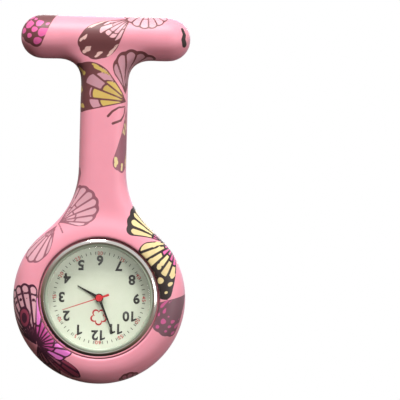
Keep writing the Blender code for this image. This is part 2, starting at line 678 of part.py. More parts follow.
def crystal_gasket():
    near = CRYSTAL_SEAT_DEPTH + SEAT
    ledge = near + CRYSTAL_GASKET_LEDGE
    inner = CRYSTAL_RADIUS + SEAT
    outer = inner + CRYSTAL_GASKET_WIDTH
    far = ledge + CRYSTAL_THICKNESS + RUN
    profile = [
        (REHAUT_RADIUS, near),
        (outer, near),
        (outer, far),
        (inner, far),
        (inner, ledge),
        (REHAUT_RADIUS, ledge),
    ]
    return paint(turned("crystal_gasket", profile), (0.82, 0.90, 0.84), 0.4)


def case_back():
    boss = BACK_WINDOW_RADIUS - RUN
    rim = CASE_BORE_RADIUS - 2 * SEAT - CASE_GASKET_WIDTH
    inner = rim - CASE_BACK_RIM_THICKNESS
    thick = CASE_BACK_THICKNESS
    outer = CASE_RADIUS - SEAT
    profile = [
        (0, 0),
        (boss - CASE_BACK_STEP, 0),
        (boss, CASE_BACK_STEP),
        (outer - RUN, CASE_BACK_STEP),
        (outer, CASE_BACK_STEP + RUN),
        (outer, thick),
        (rim, thick),
        (rim, thick + CASE_BACK_RIM_DEPTH),
        (inner, thick + CASE_BACK_RIM_DEPTH),
        (inner, thick),
        (0, thick),
    ]
    return paint(turned("case_back", profile), (0.05, 0.03, 0.03), 0.12, 1.0)


def case_back_gasket():
    outer = CASE_BORE_RADIUS - SEAT
    inner = outer - CASE_GASKET_WIDTH + SEAT
    near = CASE_BACK_THICKNESS + SEAT
    far = near + CASE_GASKET_DEPTH
    profile = [(inner, near), (outer, near), (outer, far), (inner, far)]
    return paint(turned("case_back_gasket", profile), (0.04, 0.04, 0.04), 0.6)


# ---------------------------------------------------------------- dial and hands


def dial():
    bore = circle(HOUR_PIPE_RADIUS + RUN, 20)
    face = plate("dial", [circle(DIAL_RADIUS, ROUND_SIDES), bore], DIAL_BACK_DEPTH, DIAL_FRONT_DEPTH)
    return paint(face, (0.84, 0.88, 0.76), 0.4)


def dial_direction(turn):
    """Bearing of a clockwise share of a turn from 12, which is at the bottom."""
    return -math.pi / 2 - math.tau * turn


def hand(name, depth, width, length, tail, hub_radius, bore_radius, turn, colour):
    """A tapered hand that points at its reading, with a hub pressed on its arbor."""
    half = width / 2
    outline = [
        (-tail, -half),
        (length - 2 * width, -half * 0.7),
        (length, 0),
        (length - 2 * width, half * 0.7),
        (-tail, half),
    ]
    bearing = dial_direction(turn)
    cos, sin = math.cos(bearing), math.sin(bearing)
    aimed = [(x * cos - y * sin, x * sin + y * cos) for x, y in outline]
    blade = plate(name, [aimed], depth, depth + HAND_THICKNESS)
    hub = disc(name + "_hub", hub_radius, depth - 0.5 * RUN, depth + HAND_THICKNESS + 0.5 * RUN)
    bore = disc(name + "_bore", bore_radius, depth - 1 * MM, depth + HAND_THICKNESS + 1 * MM, sides=16)
    join(blade, hub)
    cut(blade, bore)
    return paint(blade, colour, 0.3)


def second_hand():
    """The second hand, whose hub is a cap over the end of its arbor."""
    depth = SECOND_HAND_DEPTH
    width = SECOND_HAND_WIDTH
    bearing = dial_direction(SECOND_SHOWN / 60)
    tip = polar(SECOND_HAND_LENGTH, bearing)
    tail = polar(-SECOND_HAND_TAIL, bearing)
    cap_far = depth + 2 * HAND_THICKNESS
    piece = disc("second_hand", SECOND_HUB_RADIUS, depth - RUN / 2, cap_far, collection=PARTS)
    join(piece, strip("second_blade", tail, tip, width, depth, depth + HAND_THICKNESS))
    bore = SECOND_ARBOR_RADIUS + SEAT
    cut(piece, disc("second_bore", bore, depth - RUN, depth + HAND_THICKNESS, sides=16))
    return paint(piece, (0.45, 0.01, 0.03), 0.35)


# ---------------------------------------------------------------- movement


def movement_ring():
    outer, inner = CASE_BORE_RADIUS - SEAT, MOVEMENT_RADIUS + SEAT
    near, far = MOVEMENT_RING_DEPTH, DIAL_BACK_DEPTH - SEAT
    profile = [(inner, near), (outer, near), (outer, far), (inner, far)]
    ring = turned("movement_ring", profile)
    start = (-MOVEMENT_RADIUS + 1 * MM, 0, STEM_DEPTH)
    end = (-CASE_BORE_RADIUS - 1 * MM, 0, STEM_DEPTH)
    cut(ring, rod("ring_bore", TUBE_RADIUS + RUN, start, end, 20))
    return paint(ring, (0.85, 0.85, 0.82), 0.5)


def third_place():
    return polar(mesh_distance(TRAIN_MODULE, THIRD_TEETH, PINION_TEETH), THIRD_BEARING)


def centre_module():
    """The third pinion and centre wheel share the axes of the fourth pinion and third wheel."""
    ends = mesh_distance(TRAIN_MODULE, THIRD_TEETH, PINION_TEETH)
    return 2 * ends / (PINION_TEETH + CENTRE_TEETH)


def intermediate_place():
    return polar(mesh_distance(FOURTH_MODULE, FOURTH_TEETH, PINION_TEETH), INTERMEDIATE_BEARING)


def rotor_place():
    reach = mesh_distance(TRAIN_MODULE, ROTOR_TEETH, INTERMEDIATE_TEETH)
    return polar(reach, INTERMEDIATE_BEARING, intermediate_place())


def minute_wheel_place():
    reach = mesh_distance(MOTION_MODULE, CANNON_TEETH, MINUTE_TEETH)
    return polar(reach, MINUTE_WHEEL_BEARING)


def hour_module():
    """The minute pinion and hour wheel share the axes of the cannon pinion and minute wheel."""
    reach = mesh_distance(MOTION_MODULE, CANNON_TEETH, MINUTE_TEETH)
    return 2 * reach / (PINION_TEETH + HOUR_TEETH)


def battery_place():
    """As close to the centre wheels as the battery's own hole allows."""
    return polar(BATTERY_REACH, BATTERY_BEARING)


def coil_screw_place(side):
    return (side * CORE_LENGTH / 2 + COIL_SHIFT, COIL_HEIGHT)


def mainplate():
    near, far = PLATE_BACK_DEPTH, PLATE_FRONT_DEPTH
    rim_far = DIAL_BACK_DEPTH - SEAT
    base = disc("mainplate", MOVEMENT_RADIUS, near, rim_far, sides=ROUND_SIDES, collection=PARTS)
    recess = MOVEMENT_RADIUS - PLATE_RIM_WIDTH
    cut(base, disc("motion_recess", recess, far, rim_far + 1 * MM, sides=ROUND_SIDES))
    for at in BRIDGE_SCREW_PLACES:
        join(base, disc("pillar", PILLAR_RADIUS, BRIDGE_FRONT_DEPTH + SEAT, near + RUN, at, 16))
    post_far = HOUR_LEVEL + MOTION_WHEEL_THICKNESS + SEAT
    join(base, disc("minute_post", 2 * ARBOR_RADIUS, near + RUN, post_far, minute_wheel_place(), 12))
    lever_near = STEM_DEPTH - STEM_RADIUS - 2 * RUN - LEVER_THICKNESS
    join(base, disc("lever_post", 2 * ARBOR_RADIUS, lever_near, near + RUN, LEVER_PIVOT, 12))
    below, above = near - 2 * MM, far + 1 * MM
    for at in BRIDGE_SCREW_PLACES:
        cut(base, disc("screw_hole", SCREW_SHANK_RADIUS + SEAT, below, above, at, 12))
    for side in (-1, 1):
        at = coil_screw_place(side)
        cut(base, disc("coil_hole", SCREW_SHANK_RADIUS + SEAT, below, above, at, 12))
    cut(base, disc("centre_hole", CANNON_RADIUS + RUN, below, above, sides=16))
    for at in (third_place(), intermediate_place(), rotor_place()):
        cut(base, disc("pivot_hole", ARBOR_RADIUS + SEAT, below, above, at, 12))
    cut(base, disc("battery_hole", BATTERY_RADIUS + 2 * RUN, below, above, battery_place(), 28))
    coil_half = COIL_LENGTH / 2 + 3 * RUN
    coil_low = (COIL_SHIFT - coil_half, COIL_HEIGHT - COIL_RADIUS - 2 * RUN, below)
    coil_high = (COIL_SHIFT + coil_half, COIL_HEIGHT + COIL_RADIUS + 2 * RUN, above)
    cut(base, block("coil_window", coil_low, coil_high))
    stem_half = STEM_RADIUS + 2 * RUN
    stem_low = (-MOVEMENT_RADIUS - 1 * MM, -stem_half, STEM_DEPTH - stem_half)
    stem_high = (-STEM_INNER_END + 3 * RUN, stem_half, STEM_DEPTH + stem_half)
    cut(base, block("stem_channel", stem_low, stem_high))
    clutch_half = CLUTCH_RADIUS + RUN
    clutch_low = (-STEM_INNER_END - CLUTCH_LENGTH - CROWN_TRAVEL - 3 * RUN, -clutch_half, below)
    clutch_high = (-STEM_INNER_END + 3 * RUN, clutch_half, STEM_DEPTH + clutch_half)
    cut(base, block("clutch_window", clutch_low, clutch_high))
    pin_low = (LEVER_PIVOT[0] - CROWN_TRAVEL, 0, below)
    pin_high = (LEVER_PIVOT[0] + CROWN_TRAVEL, LEVER_PIN_HEIGHT + 4 * RUN, above)
    cut(base, block("lever_window", pin_low, pin_high))
    return paint(base, (0.72, 0.60, 0.36), 0.35, 1.0)


def wheel(name, at, layers, bore=0.0, colour=(0.75, 0.58, 0.25)):
    """A wheel made of coaxial layers, each an outline and its two depths."""
    first, *others = layers
    base = plate(name, [first[0]], first[1], first[2], at)
    for i, (outline, near, far) in enumerate(others):
        join(base, plate(f"{name}_layer_{i}", [outline], near, far, at, collection=CUTTERS))
    if bore:
        near = min(layer[1] for layer in layers) - 1 * MM
        far = max(layer[2] for layer in layers) + 1 * MM
        cut(base, disc(name + "_bore", bore, near, far, at, 16))
    return paint(base, colour, 0.3, 1.0)


def going_train():
    """The wheels between the rotor and the minute hand, each pair with a tooth in a gap."""
    plate_pivot = PLATE_BACK_DEPTH + 3 * RUN
    bridge_pivot = BRIDGE_FRONT_DEPTH - 3 * RUN
    side = RUN / 2  # how far a pinion stands past the wheels beside it
    fourth_far = FOURTH_LEVEL + WHEEL_THICKNESS
    third_far = THIRD_LEVEL + WHEEL_THICKNESS
    centre_far = CENTRE_LEVEL + WHEEL_THICKNESS
    arbor = circle(ARBOR_RADIUS, 12)
    to_third, to_intermediate = THIRD_BEARING, INTERMEDIATE_BEARING
    back = math.pi
    wheel(
        "fourth_wheel",
        (0, 0),
        [
            (gear(FOURTH_TEETH, FOURTH_MODULE, to_intermediate), FOURTH_LEVEL, fourth_far),
            (gear(PINION_TEETH, TRAIN_MODULE, to_third), fourth_far - side, third_far + side),
            (circle(SECOND_ARBOR_RADIUS, 12), bridge_pivot, SECOND_HAND_DEPTH + HAND_THICKNESS - SEAT),
        ],
    )
    wheel(
        "third_wheel",
        third_place(),
        [
            (gear(THIRD_TEETH, TRAIN_MODULE, to_third + back, True), THIRD_LEVEL, third_far),
            (gear(PINION_TEETH, centre_module(), to_third + back), third_far - side, centre_far + side),
            (arbor, bridge_pivot, plate_pivot),
        ],
    )
    wheel(
        "intermediate_wheel",
        intermediate_place(),
        [
            (gear(INTERMEDIATE_TEETH, TRAIN_MODULE, to_intermediate), THIRD_LEVEL, third_far),
            (
                gear(PINION_TEETH, FOURTH_MODULE, to_intermediate + back, True),
                FOURTH_LEVEL - side,
                THIRD_LEVEL + side,
            ),
            (arbor, bridge_pivot, plate_pivot),
        ],
    )
    wheel(
        "rotor",
        rotor_place(),
        [
            (circle(ROTOR_MAGNET_RADIUS, 20), CENTRE_LEVEL - SEAT, PLATE_BACK_DEPTH - SEAT),
            (
                gear(ROTOR_TEETH, TRAIN_MODULE, to_intermediate + back, True),
                THIRD_LEVEL - side,
                CENTRE_LEVEL,
            ),
            (arbor, bridge_pivot, plate_pivot),
        ],
        colour=(0.30, 0.30, 0.31),
    )
    cannon = gear(CANNON_TEETH, MOTION_MODULE, MINUTE_WHEEL_BEARING)
    wheel(
        "centre_wheel",
        (0, 0),
        [
            (gear(CENTRE_TEETH, centre_module(), to_third, True), CENTRE_LEVEL, centre_far),
            (cannon, MINUTE_LEVEL, MINUTE_LEVEL + MOTION_WHEEL_THICKNESS),
            (circle(CANNON_RADIUS, 20), CENTRE_LEVEL - SEAT, MINUTE_HAND_DEPTH + HAND_THICKNESS),
        ],
        bore=CANNON_BORE_RADIUS,
    )


def motion_work():
    """The hour wheel and the minute wheel under the dial."""
    facing = MINUTE_WHEEL_BEARING + math.pi
    hour_far = HOUR_LEVEL + MOTION_WHEEL_THICKNESS
    wheel(
        "minute_wheel",
        minute_wheel_place(),
        [
            (
                gear(MINUTE_TEETH, MOTION_MODULE, facing, True),
                MINUTE_LEVEL,
                MINUTE_LEVEL + MOTION_WHEEL_THICKNESS,
            ),
            (gear(PINION_TEETH, hour_module(), facing), MINUTE_LEVEL + SEAT, hour_far),
        ],
        bore=2 * ARBOR_RADIUS + SEAT / 2,
    )
    wheel(
        "hour_wheel",
        (0, 0),
        [
            (gear(HOUR_TEETH, hour_module(), MINUTE_WHEEL_BEARING, True), HOUR_LEVEL, hour_far),
            (circle(HOUR_PIPE_RADIUS, 20), HOUR_LEVEL, HOUR_HAND_DEPTH + HAND_THICKNESS),
        ],
        bore=HOUR_PIPE_BORE_RADIUS,
    )


def train_bridge():
    """The plate over the going train, held by three screws."""
    margin = BRIDGE_MARGIN
    left = BRIDGE_SCREW_PLACES[0][0] - margin
    top = BRIDGE_SCREW_PLACES[2][1] + margin
    low = BRIDGE_SCREW_PLACES[1][1] - margin
    rotor = rotor_place()
    right = BRIDGE_SCREW_PLACES[2][0] + margin
    outline = [
        (left, low),
        (rotor[0] + margin, low),
        (rotor[0] + 2 * margin, rotor[1] + margin),
        (rotor[0], rotor[1] + 2.2 * margin),
        BRIDGE_WAIST,
        (right, top - BRIDGE_ARM_WIDTH),
        (right, top),
        (left, BRIDGE_SCREW_PLACES[0][1] + margin),
    ]
    bridge = plate("train_bridge", [outline], BRIDGE_DEPTH, BRIDGE_FRONT_DEPTH)
    below, above = BRIDGE_DEPTH - 1 * MM, BRIDGE_FRONT_DEPTH + 1 * MM
    for at in ((0, 0), third_place(), intermediate_place(), rotor_place()):
        radius = (SECOND_ARBOR_RADIUS if at == (0, 0) else ARBOR_RADIUS) + SEAT
        cut(bridge, disc("jewel_hole", radius, below, above, at, 12))
    for at in BRIDGE_SCREW_PLACES:
        cut(bridge, disc("bridge_hole", SCREW_SHANK_RADIUS + SEAT, below, above, at, 12))
    return paint(bridge, (0.75, 0.75, 0.72), 0.3, 1.0)


def slotted_screw(name, at, head_depth, tip_depth):
    """A cheese-head screw with its slot to the rear."""
    head_far = head_depth + SCREW_HEAD_THICKNESS
    screw = disc(name, SCREW_HEAD_RADIUS, head_depth, head_far, at, 16, PARTS)
    join(screw, disc(name + "_shank", SCREW_SHANK_RADIUS, head_far - SEAT, tip_depth, at, 12))
    reach = 2 * SCREW_HEAD_RADIUS
    half = SCREW_SLOT_WIDTH / 2
    low = (at[0] - reach, at[1] - half, head_depth - RUN)
    high = (at[0] + reach, at[1] + half, head_depth + SCREW_HEAD_THICKNESS / 2)
    cut(screw, block(name + "_slot", low, high, math.radians(35)))
    return paint(screw, (0.62, 0.62, 0.62), 0.25, 1.0)


def screws():
    tip = PLATE_FRONT_DEPTH - SEAT
    for i, at in enumerate(BRIDGE_SCREW_PLACES, 1):
        slotted_screw(f"bridge_screw_{i}", at, BRIDGE_DEPTH - SCREW_HEAD_THICKNESS - SEAT, tip)
    for name, side in (("left", -1), ("right", 1)):
        at = coil_screw_place(side)
        slotted_screw(f"coil_screw_{name}", at, BOARD_DEPTH - SCREW_HEAD_THICKNESS - SEAT, tip)


def stator():
    """The stator, whose two legs run from the rotor hole to the ends of the coil core."""
    far = PLATE_BACK_DEPTH - SEAT
    near = far - STATOR_THICKNESS
    rotor = rotor_place()
    left, right = coil_screw_place(-1), coil_screw_place(1)
    piece = disc("stator", STATOR_RING_RADIUS, near, far, rotor, 28, PARTS)
    elbow = (left[0] + 2 * RUN, left[1] + STATOR_ELBOW_RISE)
    for i, (start, end) in enumerate(((rotor, right), (rotor, elbow), (elbow, left)), 1):
        thin = i * FACE_STEP
        join(piece, strip("stator_leg", start, end, STATOR_LEG_WIDTH, near + thin, far - thin))
    join(piece, disc("stator_elbow", STATOR_LEG_WIDTH / 2, near, far, elbow, 16))
    for name, end in (("left", left), ("right", right)):
        join(piece, disc(f"stator_foot_{name}", CORE_END_RADIUS, near, far, end, 20))
        cut(piece, disc(f"stator_hole_{name}", SCREW_SHANK_RADIUS + SEAT, near - RUN, far + RUN, end, 12))
    cut(piece, disc("stator_bore", STATOR_BORE_RADIUS, near - RUN, far + RUN, rotor, 28))
    return paint(piece, (0.60, 0.60, 0.58), 0.4, 1.0)


def core_depths():
    far = PLATE_BACK_DEPTH - SEAT - STATOR_THICKNESS - SEAT
    return far - CORE_THICKNESS, far


def coil_core():
    near, far = core_depths()
    left, right = coil_screw_place(-1), coil_screw_place(1)
    core = strip("coil_core", left, right, CORE_WIDTH, near + FACE_STEP, far - FACE_STEP, PARTS)
    for end in (left, right):
        join(core, disc("core_end", CORE_END_RADIUS, near, far, end, 20))
        cut(core, disc("core_hole", SCREW_SHANK_RADIUS + SEAT, near - RUN, far + RUN, end, 12))
    return paint(core, (0.58, 0.58, 0.56), 0.4, 1.0)


def coil_winding():
    near, far = core_depths()
    middle = (near + far) / 2
    half = COIL_LENGTH / 2
    shift = COIL_SHIFT
    start, end = (shift - half, COIL_HEIGHT, middle), (shift + half, COIL_HEIGHT, middle)
    coil = rod("coil_winding", COIL_RADIUS, start, end, 20, PARTS)
    low = (shift - COIL_LENGTH, COIL_HEIGHT - CORE_WIDTH / 2 - SEAT, near - SEAT)
    high = (shift + COIL_LENGTH, COIL_HEIGHT + CORE_WIDTH / 2 + SEAT, far + SEAT)
    cut(coil, block("coil_bore", low, high))
    return paint(coil, (0.55, 0.22, 0.08), 0.35, 0.6)


def circuit_board():
    """A segment of a disc behind the coil, with holes for the coil screws."""
    reach = MOVEMENT_RADIUS - 2 * RUN
    start = math.asin(BOARD_TOP / reach)
    outline = arc((0, 0), reach, math.pi - start, math.tau + start, 24)
    board = plate("circuit_board", [outline], BOARD_DEPTH, BOARD_DEPTH + BOARD_THICKNESS)
    for side in (-1, 1):
        at = coil_screw_place(side)
        low, high = BOARD_DEPTH - RUN, BOARD_DEPTH + BOARD_THICKNESS + RUN
        cut(board, disc("board_hole", SCREW_SHANK_RADIUS + SEAT, low, high, at, 12))
    return paint(board, (0.04, 0.22, 0.10), 0.4)


def quartz_can():
    board = BOARD_DEPTH + BOARD_THICKNESS
    depth = (board + PLATE_BACK_DEPTH) / 2
    height = COIL_HEIGHT - COIL_RADIUS - QUARTZ_RADIUS - 3 * RUN
    half = QUARTZ_LENGTH / 2
    can = rod("quartz_can", QUARTZ_RADIUS, (-half, height, depth), (half, height, depth), 20, PARTS)
    return paint(can, (0.75, 0.75, 0.74), 0.2, 1.0)


def ic_chip():
    near = BOARD_DEPTH + BOARD_THICKNESS + SEAT
    half = CHIP_SIZE / 2
    low = (CHIP_PLACE[0] - half, CHIP_PLACE[1] - half, near)
    high = (CHIP_PLACE[0] + half, CHIP_PLACE[1] + half, near + CHIP_THICKNESS)
    return paint(block("ic_chip", low, high, collection=PARTS), (0.02, 0.02, 0.02), 0.4)


def battery():
    """A button cell with its narrower negative cap to the rear of the dial."""
    near, far = BATTERY_DEPTH, BATTERY_DEPTH + BATTERY_THICKNESS
    step, chamfer = BATTERY_CAP_STEP, BATTERY_EDGE
    profile = [
        (0, near),
        (BATTERY_RADIUS - chamfer, near),
        (BATTERY_RADIUS, near + chamfer),
        (BATTERY_RADIUS, far - step),
        (BATTERY_RADIUS - step, far - step),
        (BATTERY_RADIUS - step, far),
        (0, far),
    ]
    cell = turned("battery", profile, 28)
    cell.location = (*battery_place(), 0)
    return paint(cell, (0.78, 0.78, 0.76), 0.25, 1.0)


def battery_clamp():
    """A strap across the battery with a foot on the mainplate at each end."""
    middle = battery_place()
    across = BATTERY_BEARING + math.pi / 2
    reach = BATTERY_RADIUS + 7 * RUN
    foot = 6 * RUN
    far = BATTERY_DEPTH - SEAT
    near = far - CLAMP_THICKNESS
    start, end = polar(-reach - foot, across, middle), polar(reach + foot, across, middle)
    clamp = strip("battery_clamp", start, end, CLAMP_WIDTH, near, far, PARTS)
    for side in (-1, 1):
        low = polar(side * reach, across, middle)
        high = polar(side * (reach + foot), across, middle)
        leg = strip("clamp_leg", low, high, CLAMP_WIDTH, near + SEAT, PLATE_BACK_DEPTH - SEAT)
        join(clamp, leg)
    return paint(clamp, (0.72, 0.70, 0.62), 0.3, 1.0)


# ---------------------------------------------------------------- crown and keyless work


def along_stem(near, far):
    """Two points on the stem axis, at distances out from the dial centre."""
    return (-near, 0, STEM_DEPTH), (-far, 0, STEM_DEPTH)


def crown():
    """A fluted cup over the end of the crown tube."""
    piece = rod("crown", CROWN_RADIUS, *along_stem(CROWN_INNER_END, CROWN_OUTER_END), 40, PARTS)
    cup = TUBE_RADIUS + GASKET_WIDTH + 2 * SEAT
    cup_end = CROWN_OUTER_END - CROWN_WALL
    cut(piece, rod("crown_cup", cup, *along_stem(CROWN_INNER_END - RUN, cup_end), 24))
    hub = rod("crown_hub", STEM_RADIUS + SEAT, *along_stem(cup_end - RUN, CROWN_OUTER_END + RUN), 16)
    cut(piece, hub)
    for i in range(CROWN_FLUTES):
        turn = math.tau * i / CROWN_FLUTES
        y, z = polar(CROWN_RADIUS + 0.4 * RUN, turn, (0, STEM_DEPTH))
        start, end = (-CROWN_INNER_END + RUN, y, z), (-CROWN_OUTER_END - RUN, y, z)
        cut(piece, rod("flute", 1.1 * RUN, start, end, 6))
    return paint(piece, (0.78, 0.78, 0.77), 0.2, 1.0)


def crown_stem():
    """The stem, with a groove that the setting lever's pin sits in."""
    stem = rod("crown_stem", STEM_RADIUS, *along_stem(STEM_INNER_END, CROWN_OUTER_END - SEAT), 16, PARTS)
    middle = -LEVER_PIVOT[0] - CROWN_TRAVEL / 2
    half = LEVER_GROOVE_WIDTH / 2
    groove = turned(
        "stem_groove",
        [
            (LEVER_GROOVE_RADIUS, -half),
            (2 * STEM_RADIUS, -half),
            (2 * STEM_RADIUS, half),
            (LEVER_GROOVE_RADIUS, half),
        ],
        20,
        CUTTERS,
    )
    groove.rotation_euler = (0, math.pi / 2, 0)
    groove.location = (-middle, 0, STEM_DEPTH)
    cut(stem, groove)
    return paint(stem, (0.66, 0.66, 0.65), 0.25, 1.0)


def clutch_wheel():
    """The toothed clutch on the stem's inner end."""
    outline = gear(CLUTCH_TEETH, 2 * CLUTCH_RADIUS / (CLUTCH_TEETH + 1.6), 0)
    clutch = plate("clutch_wheel", [outline, circle(STEM_RADIUS + SEAT, 16)], 0, CLUTCH_LENGTH)
    clutch.rotation_euler = (0, math.pi / 2, 0)
    clutch.location = (-STEM_INNER_END - SEAT - CLUTCH_LENGTH / 2, 0, STEM_DEPTH)
    return paint(clutch, (0.70, 0.58, 0.30), 0.3, 1.0)


def crown_tube():
    """The tube through the case wall that the stem runs in."""
    outer_end = CROWN_OUTER_END - CROWN_WALL - 2 * RUN
    tube = rod("crown_tube", TUBE_RADIUS, *along_stem(MOVEMENT_RADIUS + 2 * RUN, outer_end), 24, PARTS)
    bore = rod("tube_hole", STEM_RADIUS + RUN / 2, *along_stem(MOVEMENT_RADIUS, CROWN_OUTER_END), 16)
    cut(tube, bore)
    return paint(tube, (0.74, 0.70, 0.58), 0.3, 1.0)


def crown_gasket():
    inner = TUBE_RADIUS + SEAT
    middle = CROWN_OUTER_END - CROWN_WALL - 3 * RUN
    half = 1.5 * RUN
    profile = [(inner, -half), (inner + GASKET_WIDTH, -half), (inner + GASKET_WIDTH, half), (inner, half)]
    ring = turned("crown_gasket", profile, 24)
    ring.rotation_euler = (0, math.pi / 2, 0)
    ring.location = (-middle, 0, STEM_DEPTH)
    return paint(ring, (0.05, 0.05, 0.05), 0.6)


def setting_lever():
    """A lever on a post beside the stem, with a pin down into the stem's groove."""
    far = STEM_DEPTH - STEM_RADIUS - 2 * RUN + SEAT
    near = far - LEVER_THICKNESS
    pin_at = (LEVER_PIVOT[0] + CROWN_TRAVEL / 2, LEVER_PIN_HEIGHT)
    lever = disc("setting_lever", LEVER_WIDTH / 2 + RUN, near, far, LEVER_PIVOT, 16, PARTS)
    arm_near, arm_far = near + FACE_STEP, far - FACE_STEP
    join(lever, strip("lever_arm", LEVER_PIVOT, pin_at, LEVER_WIDTH * 0.6, arm_near, arm_far))
    join(lever, disc("lever_foot", LEVER_WIDTH * 0.3, near, far, pin_at, 12))
    join(lever, disc("lever_pin", LEVER_PIN_RADIUS, near + SEAT, STEM_DEPTH + RUN, pin_at, 10))
    cut(lever, disc("lever_bore", 2 * ARBOR_RADIUS + SEAT, near - RUN, far + RUN, LEVER_PIVOT, 12))
    return paint(lever, (0.68, 0.68, 0.67), 0.3, 1.0)


def build():
    start_scene()
    silicone_holder()
    brooch_base()
    brooch_pin()
    hinge_rivet()
    safety_roller()
    base_rivet("base_rivet_left", -1)
    base_rivet("base_rivet_right", 1)
    case_body()
    crystal()
    crystal_gasket()
    case_back()
    case_back_gasket()
    dial()
    black = (0.01, 0.01, 0.012)
    hour_bore, minute_bore = HOUR_PIPE_RADIUS + SEAT, CANNON_RADIUS + SEAT
    hand(
        "hour_hand", HOUR_HAND_DEPTH, HOUR_HAND_WIDTH, HOUR_HAND_LENGTH, 0, HAND_HUB_RADIUS,
        hour_bore, HOUR_SHOWN / 12, black,
    )
    hand(
        "minute_hand", MINUTE_HAND_DEPTH, MINUTE_HAND_WIDTH, MINUTE_HAND_LENGTH, 0, HAND_HUB_RADIUS,
        minute_bore, MINUTE_SHOWN / 60, black,
    )
    second_hand()
    movement_ring()
    mainplate()
    going_train()
    motion_work()
    train_bridge()
    screws()
    stator()
    coil_core()
    coil_winding()
    circuit_board()
    quartz_can()
    ic_chip()
    battery()
    battery_clamp()
    crown()
    crown_stem()
    clutch_wheel()
    crown_tube()
    crown_gasket()
    setting_lever()


build()
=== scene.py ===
# %% [markdown]
# # A printed silicone fob watch
# A fob watch hangs from a brooch pin, with its dial upside down so that its wearer can read it.
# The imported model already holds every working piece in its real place. This script leaves those
# pieces where they are and gives them their looks: a soft printed silicone holder, a polished
# bezel, a dial with its numerals, slim hands, a brooch and a dark case back.

# %% The frame that everything is built around
import json
import math

import bmesh
import bpy
import numpy as np
from mathutils import Matrix, Vector
from mathutils.bvhtree import BVHTree

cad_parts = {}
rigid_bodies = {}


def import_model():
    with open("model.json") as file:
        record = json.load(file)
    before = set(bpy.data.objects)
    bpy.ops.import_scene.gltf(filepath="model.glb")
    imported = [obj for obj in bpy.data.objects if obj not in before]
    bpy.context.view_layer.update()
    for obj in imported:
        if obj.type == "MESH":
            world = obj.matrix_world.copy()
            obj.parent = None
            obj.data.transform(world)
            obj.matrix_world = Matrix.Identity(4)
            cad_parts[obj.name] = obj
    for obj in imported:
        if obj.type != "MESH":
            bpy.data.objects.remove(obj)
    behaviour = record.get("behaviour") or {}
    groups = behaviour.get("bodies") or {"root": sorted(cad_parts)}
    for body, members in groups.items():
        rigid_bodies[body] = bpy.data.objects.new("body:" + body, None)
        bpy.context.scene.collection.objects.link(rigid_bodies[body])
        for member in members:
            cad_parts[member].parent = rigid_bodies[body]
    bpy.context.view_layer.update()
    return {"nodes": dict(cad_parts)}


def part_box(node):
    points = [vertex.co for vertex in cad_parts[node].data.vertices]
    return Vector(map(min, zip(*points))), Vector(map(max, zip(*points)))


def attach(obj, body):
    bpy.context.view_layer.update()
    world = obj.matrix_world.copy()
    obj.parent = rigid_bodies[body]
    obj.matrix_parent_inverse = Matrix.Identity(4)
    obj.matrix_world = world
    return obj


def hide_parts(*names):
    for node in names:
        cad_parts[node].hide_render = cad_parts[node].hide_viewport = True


MM = 0.001
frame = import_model()
print("nodes in the frame:", len(frame["nodes"]))

# %% [markdown]
# ## Where things are
# The origin is the middle of the case back. X runs to the viewer's right, Z up, and the
# dial faces along -Y. A watchmaker measures depths forward from the case back, so a depth of
# d millimetres lies at Y = -d.

# %% Measures read from the frame
holder_low, holder_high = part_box("silicone_holder")
_, case_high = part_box("case_body")
dial_low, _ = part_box("dial")
base_low, base_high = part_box("brooch_base")
BULB_RADIUS = -holder_low.z
HOLDER_FRONT, HOLDER_BACK = holder_low.y, holder_high.y
HOLDER_MIDDLE = (HOLDER_FRONT + HOLDER_BACK) / 2
HOLDER_TOP = holder_high.z
DIAL_FRONT = dial_low.y
BEZEL_RADIUS = case_high.z
print("holder", [round(v / MM, 2) for v in (BULB_RADIUS, HOLDER_FRONT, HOLDER_BACK, HOLDER_TOP)])

# %% [markdown]
# ## Node helpers
# Every finish below is a Principled shader fed by a few procedural nodes. These helpers add a
# node, link it and set its plain values, so that each material reads as a short recipe.


# %% Helpers for materials
def finish_material(name, colour, roughness, metallic=0.0):
    """A material with plain values on its shader's own sockets."""
    material = bpy.data.materials.new(name)
    material.use_nodes = True
    shader = material.node_tree.nodes["Principled BSDF"]
    set_sockets(shader, {"Base Color": (*colour, 1.0), "Roughness": roughness, "Metallic": metallic})
    return material, shader


def node(material, kind, **values):
    """A node whose sockets and settings are given by name."""
    made = material.node_tree.nodes.new(kind)
    for name, value in values.items():
        label = name.replace("_", " ").title()
        if label in made.inputs:
            made.inputs[label].default_value = value
        else:
            setattr(made, name, value)
    return made


def wire(material, source, target):
    """Link an output to an input."""
    material.node_tree.links.new(source, target)


def set_sockets(shader, values):
    """Set several of a node's sockets by their labels."""
    for label, value in values.items():
        shader.inputs[label].default_value = value


def object_noise(material, scale, detail=3.0, stretch=(1, 1, 1)):
    """Noise in the piece's own metres, at so many features a metre."""
    place = node(material, "ShaderNodeTexCoord")
    mapping = node(material, "ShaderNodeMapping")
    mapping.inputs["Scale"].default_value = stretch
    noise = node(material, "ShaderNodeTexNoise", scale=scale, detail=detail)
    wire(material, place.outputs["Object"], mapping.inputs["Vector"])
    wire(material, mapping.outputs["Vector"], noise.inputs["Vector"])
    return noise.outputs["Fac"]


def spread(material, value, low, high):
    """A value from 0 to 1 mapped to another range."""
    ramp = node(material, "ShaderNodeMapRange", to_min=low, to_max=high)
    wire(material, value, ramp.inputs["Value"])
    return ramp.outputs["Result"]


def tinted(material, value, dark, light):
    """A colour between two, by a value from 0 to 1."""
    mix = node(material, "ShaderNodeMix", data_type="RGBA")
    mix.inputs["A"].default_value = (*dark, 1)
    mix.inputs["B"].default_value = (*light, 1)
    wire(material, value, mix.inputs["Factor"])
    return mix.outputs["Result"]


